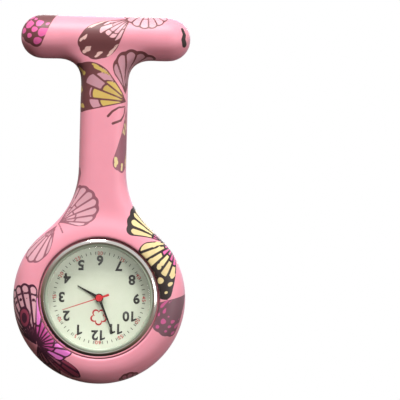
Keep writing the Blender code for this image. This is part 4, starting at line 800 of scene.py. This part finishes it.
points = vertices_of(skin_mesh)
normals, depths = outer_normals(points)
flat = np.hypot(normals[:, 0], normals[:, 2]) + 1e-9
outward_x, outward_z = normals[:, 0] / flat, normals[:, 2] / flat
turn = np.arccos(np.clip(-normals[:, 1], -1, 1))
x, z = points[:, 0] / MM, points[:, 2] / MM
sheets = []
for facing, wings, strokes, lean in (
    (1, front_wings, front_strokes, FRONT_LEAN),
    (-1, back_wings, back_strokes, BACK_LEAN),
):
    round_turn = turn if facing > 0 else math.pi - turn
    beyond = EDGE_TURN_RADIUS * (round_turn - np.sin(round_turn))
    sheet_x, sheet_z = facing * (x + outward_x * beyond), z + outward_z * beyond
    askew_x = sheet_x + facing * math.sin(lean) * sheet_z
    askew_z = sheet_z - facing * math.sin(lean) * sheet_x
    limits = (WRAP_START, WRAP_END) if facing > 0 else (math.pi - WRAP_END, math.pi / 2)
    fade = np.clip((round_turn - limits[0]) / (limits[1] - limits[0]), 0, 3) * FADE_DEPTH
    sheets.append(sheet_layers(wings, strokes, askew_x, askew_z, fade))
front, back = sheets
use_front = front[0] > np.maximum(back[0], 0)
use_front |= (turn < math.pi / 2) & (back[0] <= 0)
cover, ink, cell, dye = (
    np.where(use_front if a.ndim == 1 else use_front[:, None], a, b) for a, b in zip(front, back)
)
cover = np.where(depths > POCKET_MARGIN, CLEAR_OF_PRINT, cover)
back_share = np.clip((turn - TINT_TURN) / TINT_TURN, 0, 1)
to_back = np.array(BACK_SILICONE) - FRONT_SILICONE
tint_and_hole_shade = np.array(FRONT_SILICONE) + back_share[:, None] * to_back
print("printed share of the skin:", round(float((cover > 0).mean()), 3))

# %% [markdown]
# ## Painted shade inside the bar's holes, and onto the mesh
# The blind holes are deep, so the silicone inside them is painted dark as painted shade.
# All the distances and colours are then stored on the mesh, where the shader can read them.

# %% Store the print on the mesh
HOLES_START_Y = -0.95 * MM  # just inside the floor of the brooch's slot
along, up = points[:, 0], points[:, 2] - BAR_Z
from_hole = np.abs((along / PIN_HOLE_PITCH + 0.5) % 1 - 0.5) * PIN_HOLE_PITCH
in_bar_hole = (from_hole < HOLE_REACH) & (np.abs(up) < HOLE_REACH)
in_bar_hole &= (points[:, 1] < HOLES_START_Y) & (depths > 2 * MM)
at_last_hole = np.hypot(along - 2 * PIN_HOLE_PITCH, up) < HOLE_REACH
in_bar_hole |= at_last_hole & (depths > 0.5 * MM)
# painted shade: the silicone inside the bar's deep holes is coloured dark
tint_and_hole_shade[in_bar_hole] = HOLE_SHADE
for name, values in (("print_cover", cover), ("print_ink", ink)):
    skin_mesh.attributes.new(name, "FLOAT", "POINT").data.foreach_set("value", values.astype(np.float32))
for name, values in (("print_cell", cell), ("print_dye", dye), ("tint_and_hole_shade", tint_and_hole_shade)):
    rgba = np.concatenate([np.clip(values, 0, 1), np.ones((len(values), 1))], axis=1)
    colours = skin_mesh.attributes.new(name, "FLOAT_COLOR", "POINT")
    colours.data.foreach_set("color", rgba.astype(np.float32).ravel())
print("vertices in the bar's holes:", int(in_bar_hole.sum()))

# %% [markdown]
# ## Printed silicone
# Silicone is matt with a soft, skin-like glow: light goes a little way in and comes out again.
# Subsurface scattering gives that glow, a rough coat of fine grain dulls it, and the dye lies
# in the surface, so it shares the same roughness.


# %% The silicone's material
INK_SOFTNESS = 0.05  # millimetres


def attribute(material, name):
    """A node that reads one of the values stored on the mesh."""
    return node(material, "ShaderNodeAttribute", attribute_name=name)


def sharp_edge(material, distance, softness):
    """0 outside and 1 inside an outline, from a distance in millimetres."""
    edge = node(material, "ShaderNodeMapRange", from_min=-softness, from_max=softness)
    wire(material, distance, edge.inputs["Value"])
    return edge.outputs["Result"]


def mixed(material, factor, first, second):
    """A colour between two others, by a factor from 0 to 1."""
    mix = node(material, "ShaderNodeMix", data_type="RGBA")
    wire(material, factor, mix.inputs["Factor"])
    wire(material, first, mix.inputs["A"])
    wire(material, second, mix.inputs["B"])
    return mix.outputs["Result"]


def printed_silicone():
    """Silicone in its own tint, with the print dyed into it and painted shade in the bar's holes."""
    material, shader = finish_material("printed_silicone", FRONT_SILICONE, 0.5)
    inked = sharp_edge(material, attribute(material, "print_ink").outputs["Fac"], INK_SOFTNESS)
    covered = sharp_edge(material, attribute(material, "print_cover").outputs["Fac"], INK_SOFTNESS)
    cells, dyes = attribute(material, "print_cell"), attribute(material, "print_dye")
    print_colour = mixed(material, inked, cells.outputs["Color"], dyes.outputs["Color"])
    # the tint also holds the painted shade inside the bar's holes
    base = attribute(material, "tint_and_hole_shade").outputs["Color"]
    colour = mixed(material, covered, base, print_colour)
    blotch = object_noise(material, 260.0, 3.0)
    worn = node(material, "ShaderNodeMix", data_type="RGBA", blend_type="MULTIPLY", factor=1.0)
    wire(material, colour, worn.inputs["A"])
    wire(material, tinted(material, blotch, (0.93, 0.92, 0.93), (1.0, 1.0, 1.0)), worn.inputs["B"])
    wire(material, worn.outputs["Result"], shader.inputs["Base Color"])
    grain = object_noise(material, 5200.0, 2.0)
    wire(material, spread(material, grain, 0.4, 0.56), shader.inputs["Roughness"])
    bumped(material, shader, grain, 6e-6)
    set_sockets(shader, {
        "Subsurface Weight": 0.12,
        "Subsurface Radius": (1.0, 0.35, 0.3),
        "Subsurface Scale": 0.9 * MM,
        "Sheen Weight": 0.12,
        "Sheen Roughness": 0.5,
    })
    return material


holder = add_piece("printed_holder", skin_mesh, "holder", printed_silicone())
for face in holder.data.polygons:
    face.use_smooth = True
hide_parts("silicone_holder")
print("holder skinned and printed")

# %% [markdown]
# ## The bezel and its gasket
# The case is turned from brass and plated, and only its front ring shows. A lathe profile with
# a fine round shoulder catches long highlights, which a faceted ring can't. The pale ring
# inside it is the gasket that the glass is pressed into.


# %% Case, gasket and glass
STEM_DEPTH, STEM_WAY_RADIUS = 3.3 * MM, 0.8 * MM


def turned_mesh(name, profile, steps=160):
    """A lathe mesh from a profile in millimetres."""
    return lathe_mesh(name, [(r * MM, d * MM) for r, d in profile], steps)


def turned_piece(name, profile, material, stands_for):
    """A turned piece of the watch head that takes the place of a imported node."""
    piece = add_piece(name, turned_mesh(name, profile), "head", material, 35)
    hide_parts(stands_for)
    return piece


bezel_shoulder = [(13.99, 7.6), (13.95, 7.85), (13.84, 8.07), (13.68, 8.26), (13.46, 8.43), (13.2, 8.56)]
bezel_crown = [(12.92, 8.68), (12.78, 8.7), (12.66, 8.66), (12.6, 8.56), (12.57, 8.4)]
case_profile = [
    (11.95, 0.76), (12.68, 0.76), (12.75, 0.83), (12.75, 5.6), (13.8, 5.6), (13.99, 5.8),
    *bezel_shoulder, *bezel_crown,
    (12.55, 8.3), (12.55, 6.6), (11.6, 6.6), (11.6, 4.86), (11.95, 4.86),
]
chrome = metal("polished_chrome", (0.80, 0.79, 0.77), 0.07, grain=300.0, wear=0.05, bump=0.3e-6)
stem_way = loft_mesh("stem_way", [
    [(x, y - STEM_DEPTH, z) for y, z in circle(STEM_WAY_RADIUS, 32)] for x in (-14.5 * MM, -11 * MM)
])
case_mesh = cut_out(turned_mesh("case", case_profile), stem_way)
case = add_piece("bezel_case", case_mesh, "head", chrome, 35)
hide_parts("case_body")

gasket_profile = [
    (11.6, 6.66), (12.5, 6.66), (12.5, 8.2), (12.46, 8.3), (12.36, 8.36), (12.16, 8.36),
    (12.02, 8.32), (11.92, 8.2), (11.9, 8.0), (11.9, 6.9), (11.6, 6.9),
]
gasket_material = plastic("pale_gasket", srgb(166, 178, 160), 0.35, 0.94)
gasket_shader = gasket_material.node_tree.nodes["Principled BSDF"]
set_sockets(gasket_shader, {"Subsurface Weight": 0.1, "Subsurface Scale": 0.5 * MM})
turned_piece("glass_gasket", gasket_profile, gasket_material, "crystal_gasket")

glass_profile = [
    (0, 6.96), (11.78, 6.96), (11.84, 7.02), (11.84, 8.02), (11.7, 8.18), (11.62, 8.2), (0, 8.2),
]
glass_material, glass_shader = finish_material("mineral_glass", (0.97, 1.0, 0.98), 0.02)
set_sockets(glass_shader, {"Transmission Weight": 1.0, "IOR": 1.46})
smear = object_noise(glass_material, 140.0, 4.0)
wire(glass_material, spread(glass_material, smear, 0.0, 0.012), glass_shader.inputs["Roughness"])
glass = turned_piece("flat_glass", glass_profile, glass_material, "crystal")
glass.visible_shadow = False  # lamps reach the dial through it
print("case, gasket and glass turned")

# %% [markdown]
# ## Marks for the dial
# The figures are text objects turned into flat meshes, and raised a fiftieth of a millimetre, as
# pad printing is. Only the 1 is drawn here, with its flag, since in a plain font it is a bar.

# %% Figures, strips and a blossom
PRINT_THICKNESS = 0.02 * MM
CAP_HEIGHT = 1.4  # type size that gives a figure about one unit tall
FIGURE_GAP = 0.17  # between two figures, in heights
PETAL_DEPTH, PETAL_POWER = 0.38, 0.6  # how deep the blossom's notches are, and how sharp


def dial_point(turn, radius):
    """A place on the dial, by its share of a turn from 12 and its distance from the middle."""
    return Vector((-math.sin(math.tau * turn) * radius, 0, -math.cos(math.tau * turn) * radius))


def outward_turn(at):
    """The angle that stands a mark on its foot, with its head away from the middle."""
    return math.atan2(at.z, at.x) - math.pi / 2


def digit_mesh(digit, height, weight):
    """One figure lying flat, its left foot at zero, with the width it takes up."""
    if digit == "1":  # a stem with a flag, so that it can't be read as a tick
        stem, flag = 0.16 * height + weight, 0.3 * height
        outline = [(flag, 0), (flag + stem, 0), (flag + stem, height), (flag + 0.3 * stem, height),
                   (0, 0.82 * height), (0, 0.66 * height), (flag, 0.76 * height)]
        mesh = bpy.data.meshes.new("figure")
        mesh.from_pydata([(*corner, 0) for corner in outline], [], [tuple(range(len(outline)))])
        return mesh, flag + stem
    curve = bpy.data.curves.new("figure", "FONT")
    curve.body, curve.size, curve.offset = digit, height * CAP_HEIGHT, weight
    curve.resolution_u = 6
    piece = linked("figure", curve)
    mesh = evaluated_mesh(piece, "figure")
    bpy.data.objects.remove(piece)
    flat_points = vertices_of(mesh)
    flat_points -= flat_points.min(0)
    flat_points[:, :2] *= height / flat_points[:, 1].max()
    mesh.vertices.foreach_set("co", flat_points.ravel())
    return mesh, float(flat_points[:, 0].max())


def figure_mesh(text, height, weight):
    """A printed number as flat points in its own plane, centred on zero."""
    row, place = bmesh.new(), 0.0
    for digit in text:
        mesh, width = digit_mesh(digit, height, weight)
        mesh.transform(Matrix.Translation((place, 0, 0)))
        row.from_mesh(mesh)
        place += width + FIGURE_GAP * height
    bmesh.ops.translate(row, verts=row.verts, vec=((FIGURE_GAP * height - place) / 2, -height / 2, 0))
    return mesh_from("number", row)


def printed_layer(name, marks, ink):
    """Flat marks laid on the dial as one piece: each is a mesh, a place and a turn."""
    raised_marks = []
    for mesh, at, angle in marks:
        made = bmesh.new()
        made.from_mesh(mesh)
        raised = bmesh.ops.extrude_face_region(made, geom=list(made.faces))
        lifted = [v for v in raised["geom"] if isinstance(v, bmesh.types.BMVert)]
        bmesh.ops.translate(made, verts=lifted, vec=(0, 0, PRINT_THICKNESS))
        cos, sin = math.cos(angle), math.sin(angle)
        for vertex in made.verts:
            px, py, pz = vertex.co
            vertex.co = (at.x + px * cos - py * sin, DIAL_FRONT - pz, at.z + px * sin + py * cos)
        raised_marks.append(closed_mesh("mark", made))
    add_piece(name, joined(name, raised_marks), "head", ink)


def flat_strip(width, length):
    """A flat rectangle, centred on zero."""
    mesh = bpy.data.meshes.new("strip")
    a, b = width / 2, length / 2
    mesh.from_pydata([(-a, -b, 0), (a, -b, 0), (a, b, 0), (-a, b, 0)], [], [(0, 1, 2, 3)])
    return mesh


def blossom_mesh(petals=5, radius=1.95 * MM, line=0.4 * MM, steps=200):
    """The outline of a plain blossom with round petals, as a flat ribbon."""
    inner, outer = [], []
    for i in range(steps):
        a = math.tau * i / steps
        r = radius * (1 - PETAL_DEPTH + PETAL_DEPTH * abs(math.cos(petals * a / 2)) ** PETAL_POWER)
        inner.append(((r - line) * math.cos(a), (r - line) * math.sin(a), 0))
        outer.append((r * math.cos(a), r * math.sin(a), 0))
    faces = [(i, (i + 1) % steps, steps + (i + 1) % steps, steps + i) for i in range(steps)]
    mesh = bpy.data.meshes.new("blossom")
    mesh.from_pydata(inner + outer, [], faces)
    return mesh


print("dial marks ready")

# %% [markdown]
# ## The dial
# A printed dial is a lacquered disc with inks on top. The hour figures read upright from the
# wearer's side, so they are turned half a turn for an onlooker, and the small minute figures
# stand round the edge with their feet to the middle.

# %% Dial disc and printing
HOUR_HEIGHT, HOUR_WEIGHT = 2.35 * MM, 0.12 * MM
MINUTE_HEIGHT, MINUTE_WEIGHT = 0.85 * MM, 0.02 * MM
dial_material, dial_shader = finish_material("ivory_lacquer", srgb(182, 187, 174), 0.3)
mottle = object_noise(dial_material, 500.0)
ivory = tinted(dial_material, mottle, srgb(177, 182, 167), srgb(186, 190, 177))
wire(dial_material, ivory, dial_shader.inputs["Base Color"])
bumped(dial_material, dial_shader, object_noise(dial_material, 7000.0, 2.0), 1e-6)
dial_shader.inputs["Coat Weight"].default_value = 0.3
dial_profile = [(0.72, 4.4), (11.88, 4.4), (11.9, 4.42), (11.9, 4.76), (11.86, 4.8), (0.72, 4.8)]
turned_piece("dial_face", dial_profile, dial_material, "dial")

black_ink = plastic("black_dial_ink", (0.012, 0.012, 0.016), 0.35)
red_ink = plastic("red_dial_ink", srgb(168, 14, 34), 0.35)
HOUR_RING, MINUTE_RING, TICK_RING = 8.55 * MM, 10.2 * MM, 10.25 * MM
hours = []
for hour in range(1, 13):
    ring = HOUR_RING * (0.95 if hour in (10, 11) else 1.0)  # the two widest sit further in
    number = figure_mesh(str(hour), HOUR_HEIGHT, HOUR_WEIGHT)
    hours.append((number, dial_point(hour / 12, ring), math.pi))
printed_layer("hour_figures", hours, black_ink)
minutes = []
for minute in range(5, 65, 5):
    at = dial_point(minute / 60, MINUTE_RING)
    number = figure_mesh(str(minute), MINUTE_HEIGHT, MINUTE_WEIGHT)
    minutes.append((number, at, outward_turn(at)))
printed_layer("minute_figures", minutes, red_ink)
ticks = []
for tick in range(60):
    at = dial_point(tick / 60, TICK_RING)
    outward = outward_turn(at)
    if tick % 5:
        ticks.append((flat_strip(0.16 * MM, 0.66 * MM), at, outward))
    else:
        for step in (-0.66, 0.66):  # a pair, one on each side of the figures
            beside = dial_point((tick + step) / 60, TICK_RING)
            ticks.append((flat_strip(0.1 * MM, 0.6 * MM), beside, outward))
printed_layer("minute_ticks", ticks, black_ink)
blossom = (blossom_mesh(), dial_point(0, 4.35 * MM), -math.pi / 2)
printed_layer("red_blossom", [blossom], red_ink)
print("dial printed:", len(hours), "hours,", len(minutes), "minute figures,", len(ticks), "ticks")

# %% [markdown]
# ## The hands
# Watch hands are stamped from thin sheet, so each is a flat outline with a hair of rounding on
# its front edge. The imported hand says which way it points, and the finer one points the same way
# and rides the same arbor, so the gears still carry it round.


# %% Hour, minute and second hands
TAIL_WIDE, TAIL_SLIM = 2.2, 1.4  # half widths of the tail, in half widths of the hand
EDGE_ROUND = 0.03
HAND_BORES = {"hour_hand": 0.63 * MM, "minute_hand": 0.41 * MM}  # for the pipes they press onto


def pointing(packed):
    """The direction in which a packed hand points, across the dial."""
    ends = [packed.matrix_world @ v.co for v in packed.data.vertices]
    end = max(ends, key=lambda p: math.hypot(p.x, p.z))
    return Vector((end.x, 0, end.z)).normalized()


def hand_mesh(name, towards, length, hub, root, tip, depths, tail=0.0):
    """A stamped hand with a round hub. Sizes in millimetres, depths from the back of the case."""
    opening = math.asin(root / hub)
    outline = arc((0, 0), hub, math.degrees(opening), 360 - math.degrees(opening), 48)
    outline += arc((length - tip, 0), tip, -90, 90, 8)
    shapes = [outline]
    if tail:
        wide, slim, start = TAIL_WIDE * root, TAIL_SLIM * root, -0.5 * hub
        shapes.append([(-tail, -wide), (start, -slim), (start, slim), (-tail, wide)])
    made = bmesh.new()
    for inset, shape in enumerate(shapes):
        shrink = EDGE_ROUND * inset  # the tail is a little thinner, so that no faces coincide
        rim = [made.verts.new((u, v, depths[0] + shrink)) for u, v in shape]
        face = made.faces.new(rim)
        raised = bmesh.ops.extrude_face_region(made, geom=[face])
        top = [g for g in raised["geom"] if isinstance(g, bmesh.types.BMVert)]
        bmesh.ops.translate(made, verts=top, vec=(0, 0, depths[1] - depths[0] - 2 * shrink))
        edges = [g for g in raised["geom"] if isinstance(g, bmesh.types.BMEdge)]
        bmesh.ops.bevel(made, geom=edges, offset=EDGE_ROUND, segments=2, affect="EDGES")
    for vertex in made.verts:
        u, v, depth = vertex.co
        vertex.co = Vector((u * towards.x - v * towards.z, -depth, u * towards.z + v * towards.x)) * MM
    return closed_mesh(name, made)


hand_black = plastic("black_hand_paint", (0.008, 0.008, 0.01), 0.25)
hand_red = plastic("red_hand_paint", srgb(178, 16, 34), 0.28)
hand_shapes = [
    ("hour_hand", "hour_arbor", "hand_black", hand_black, (5.7, 1.0, 0.34, 0.13, (5.05, 5.17))),
    ("minute_hand", "minute_arbor", "hand_black", hand_black, (8.7, 1.0, 0.30, 0.11, (5.45, 5.57))),
    ("second_hand", "second_arbor", "hand_red", hand_red, (8.9, 0.5, 0.13, 0.06, (5.85, 5.97), 2.4)),
]
for name, body, slot, paint, shape in hand_shapes:
    mesh = hand_mesh(name, pointing(frame["nodes"][name]), *shape)
    if name in HAND_BORES:
        mesh = cut_out(mesh, rod_mesh(0, 0, HAND_BORES[name], -7 * MM, -4 * MM))
    piece = add_piece(f"stamped_{name}", mesh, body, paint, 30)
    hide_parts(name)
cap_profile = [
    (0, 5.86), (0.74, 5.86), (0.78, 5.9), (0.78, 6.02), (0.72, 6.08), (0.5, 6.12), (0, 6.14),
]
cap_mesh = turned_mesh("second_cap", cap_profile, 64)
add_piece("second_cap", cap_mesh, "second_arbor", hand_red, 30)
print("three hands stamped")

# %% [markdown]
# ## Metals, plastics and the pieces inside
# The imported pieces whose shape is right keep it, and only their finish changes. Each gets a
# material for what it is made of: plated steel is cool and fine-grained, brass is warm, copper
# wire runs in turns, a circuit board is green under lacquer.

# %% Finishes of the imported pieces
STEEL = (0.62, 0.61, 0.59)
brushed_steel = metal("brushed_steel", STEEL, 0.3, 500.0, (1, 6, 30), 0.14, 3e-6)
bright_steel = metal("bright_steel", STEEL, 0.2, 700.0, wear=0.08, bump=0.3e-6)
dark_rivet = metal("blued_rivet", (0.05, 0.055, 0.09), 0.22, grain=900.0, wear=0.1)
brass = metal("gilt_brass", (0.78, 0.58, 0.27), 0.22, grain=900.0, wear=0.08)
plated = metal("nickel_plate", (0.70, 0.70, 0.68), 0.24, 800.0, (20, 1, 1), 0.1, 2e-6)
magnet = metal("sintered_magnet", (0.25, 0.25, 0.26), 0.5, grain=3000.0, wear=0.15, bump=4e-6)
soft_iron = metal("soft_iron", (0.48, 0.48, 0.47), 0.38, grain=1500.0, wear=0.12, bump=2e-6)
copper = metal("enamelled_copper", (0.60, 0.25, 0.09), 0.3, 600.0, (60, 1, 1), 0.1, 12e-6)
cell_steel = metal("cell_steel", (0.72, 0.72, 0.71), 0.2, grain=1000.0, wear=0.1)
seal_rubber = plastic("seal_rubber", (0.02, 0.02, 0.02), 0.6)
ring_plastic = plastic("ring_plastic", (0.72, 0.72, 0.68), 0.45)
board_green = plastic("board_lacquer", (0.02, 0.16, 0.06), 0.25, 0.7)
chip_resin = plastic("chip_resin", (0.012, 0.012, 0.014), 0.3)
finishes = {
    brushed_steel: ["brooch_base"],
    bright_steel: ["brooch_pin", "safety_roller", "hinge_rivet"],
    dark_rivet: ["base_rivet_left", "base_rivet_right"],
    brass: [
        "centre_wheel", "third_wheel", "fourth_wheel", "minute_wheel", "hour_wheel",
        "intermediate_wheel", "crown_tube",
    ],
    plated: [
        "mainplate", "train_bridge", "bridge_screw_1", "bridge_screw_2", "bridge_screw_3",
        "coil_screw_left", "coil_screw_right", "battery_clamp", "quartz_can", "crown_stem",
        "clutch_wheel", "setting_lever",
    ],
    magnet: ["rotor"],
    soft_iron: ["stator", "coil_core"],
    copper: ["coil_winding"],
    cell_steel: ["battery"],
    seal_rubber: ["case_back_gasket", "crown_gasket"],
    ring_plastic: ["movement_ring"],
    board_green: ["circuit_board"],
    chip_resin: ["ic_chip"],
    chrome: ["crown"],
}
for material, nodes in finishes.items():
    for name in nodes:
        packed = frame["nodes"][name]
        packed.data.materials.clear()
        packed.data.materials.append(material)
print("packed pieces finished:", sum(len(nodes) for nodes in finishes.values()))

# %% [markdown]
# ## The dark case back
# The snap back is dark and glossy, with hair scratches and specks of dust, and it is all that
# shows through the round window. It is turned with a fine step at its edge.

# %% Case back
back_profile = [
    (0, 0.0), (9.9, 0.0), (10.06, 0.03), (10.2, 0.15), (12.6, 0.15), (12.7, 0.25), (12.7, 0.7),
    (11.35, 0.7), (11.35, 1.9), (10.9, 1.9), (10.9, 0.7), (0, 0.7),
]
back_material, back_shader = finish_material("dark_case_back", (0.02, 0.012, 0.01), 0.14, 0.6)
cloud = object_noise(back_material, 60.0, 2.0)
dust = node(back_material, "ShaderNodeMapRange", from_min=0.71, from_max=0.75)
wire(back_material, object_noise(back_material, 900.0, 3.0), dust.inputs["Value"])
brown = tinted(back_material, cloud, srgb(40, 24, 19), srgb(72, 42, 32))
specked = node(back_material, "ShaderNodeMix", data_type="RGBA")
specked.inputs["B"].default_value = (*srgb(150, 130, 118), 1)
wire(back_material, dust.outputs["Result"], specked.inputs["Factor"])
wire(back_material, brown, specked.inputs["A"])
wire(back_material, specked.outputs["Result"], back_shader.inputs["Base Color"])
hair = object_noise(back_material, 900.0, 2.0, (1, 1, 14))
wire(back_material, spread(back_material, hair, 0.08, 0.24), back_shader.inputs["Roughness"])
bumped(back_material, back_shader, hair, 1.5e-6)
turned_piece("dark_back", back_profile, back_material, "case_back")
print("case back turned")

# %% [markdown]
# ## Camera
# The watch hangs a degree and a half askew, so the camera is rolled instead of the watch. A long
# lens from over a metre away keeps the round dial round. The camera looks straight back, and it
# is slid across and up so that the watch stands at the left of the picture.

# %% Camera
VIEW_WIDTH = 92.6 * MM
CAMERA_DISTANCE = 1.2
SENSOR_WIDTH = 36.0
ROLL = math.radians(1.43)
FRONT_PLANE = HOLDER_FRONT + 2.5 * MM
SLIDE_RIGHT, SLIDE_UP = 23.38 * MM, 22.69 * MM  # from the dial's middle, in the rolled picture
camera_data = bpy.data.cameras.new("camera")
camera_data.sensor_width = SENSOR_WIDTH
camera_data.lens = SENSOR_WIDTH * CAMERA_DISTANCE / VIEW_WIDTH
camera = linked("camera", camera_data)
right = Vector((math.cos(ROLL), 0, math.sin(ROLL)))
up = Vector((-math.sin(ROLL), 0, math.cos(ROLL)))
back_off = Vector((0, FRONT_PLANE - CAMERA_DISTANCE, 0))
camera.location = SLIDE_RIGHT * right + SLIDE_UP * up + back_off
camera.rotation_euler = (math.pi / 2, -ROLL, 0)
camera_data.clip_start, camera_data.clip_end = 0.05, 20
bpy.context.scene.camera = camera
print("lens", round(camera_data.lens), "mm")

# %% [markdown]
# ## The floor
# A plain pale floor lies well below the watch. A pale floor throws light up and washes out the
# undersides, so this one is hidden from diffuse and glossy rays, as a photographer would lay a
# black flag just out of sight.

# %% Floor
FLOOR_HALF, FLOOR_Z = 3.0, -0.2
floor_mesh = flat_strip(2 * FLOOR_HALF, 2 * FLOOR_HALF)
floor_mesh.transform(Matrix.Translation((0, 0, FLOOR_Z)))
floor = linked("floor", floor_mesh)
floor_mesh.materials.append(finish_material("pale_floor", (0.8, 0.8, 0.79), 0.8)[0])
floor.visible_diffuse = floor.visible_glossy = False
print("floor laid", round(-FLOOR_Z, 2), "m below the dial's middle")

# %% [markdown]
# ## The room
# The lens sees white behind the watch. Everything else in the world is a soft room: bright
# above, warm and dark below, and leaning a little to the right, so that round silicone is
# shaded and polished metal has a light and a dark side to mirror.

# %% World
ROOM_UP = (0.38, 0.0, 0.92)
ROOM_STRENGTH = 0.8
world = bpy.data.worlds.new("studio")
bpy.context.scene.world = world
world.use_nodes = True
background = world.node_tree.nodes["Background"]
white = node(world, "ShaderNodeBackground", color=(1, 1, 1, 1), strength=1.0)
lean = node(world, "ShaderNodeVectorMath", operation="DOT_PRODUCT")
lean.inputs[1].default_value = ROOM_UP
wire(world, node(world, "ShaderNodeTexCoord").outputs["Generated"], lean.inputs[0])
height = node(world, "ShaderNodeMapRange", from_min=-1.0, from_max=1.0)
wire(world, lean.outputs["Value"], height.inputs["Value"])
ramp = node(world, "ShaderNodeValToRGB")
room = [
    (0.0, (0.02, 0.015, 0.015)), (0.22, (0.05, 0.035, 0.03)), (0.34, (0.20, 0.13, 0.085)),
    (0.52, (0.42, 0.35, 0.29)), (0.72, (0.95, 0.92, 0.9)),
]
while len(ramp.color_ramp.elements) < len(room):
    ramp.color_ramp.elements.new(0.5)
for stop, (position, colour) in zip(ramp.color_ramp.elements, room):
    stop.position, stop.color = position, (*colour, 1)
wire(world, height.outputs["Result"], ramp.inputs["Fac"])
wire(world, ramp.outputs["Color"], background.inputs["Color"])
background.inputs["Strength"].default_value = ROOM_STRENGTH
mix = node(world, "ShaderNodeMixShader")
wire(world, node(world, "ShaderNodeLightPath").outputs["Is Camera Ray"], mix.inputs["Fac"])
wire(world, background.outputs["Background"], mix.inputs[1])
wire(world, white.outputs["Background"], mix.inputs[2])
wire(world, mix.outputs["Shader"], world.node_tree.nodes["World Output"].inputs["Surface"])
bpy.context.scene.view_settings.view_transform = "Standard"
print("room has", len(room), "stops from floor to ceiling")

# %% [markdown]
# ## The lamps
# The main lamp hangs high in front and a little to the left, so the top of every round edge is
# lit and its underside falls away. A weak one fills in from the right, and one stands behind
# for the views of the back.


# %% Lamps
def lamp(name, place, size, power, colour):
    """A round soft lamp that faces the watch."""
    data = bpy.data.lights.new(name, "AREA")
    data.shape, data.size, data.energy, data.color = "DISK", size, power, colour
    light = linked(name, data)
    light.location = place
    light.rotation_euler = (LIT_POINT - Vector(place)).to_track_quat("-Z", "Y").to_euler()


LIT_POINT = Vector((0.0, 0.0, 0.02))
lamp("key", (-0.1, -0.6, 1.1), 0.35, 16.0, (1.0, 0.98, 0.95))
lamp("fill", (0.85, -0.9, 0.1), 0.4, 4.0, (1.0, 0.97, 0.96))
lamp("back_light", (0.15, 1.1, 0.4), 0.6, 7.0, (0.98, 0.98, 1.0))
print("three lamps hung")
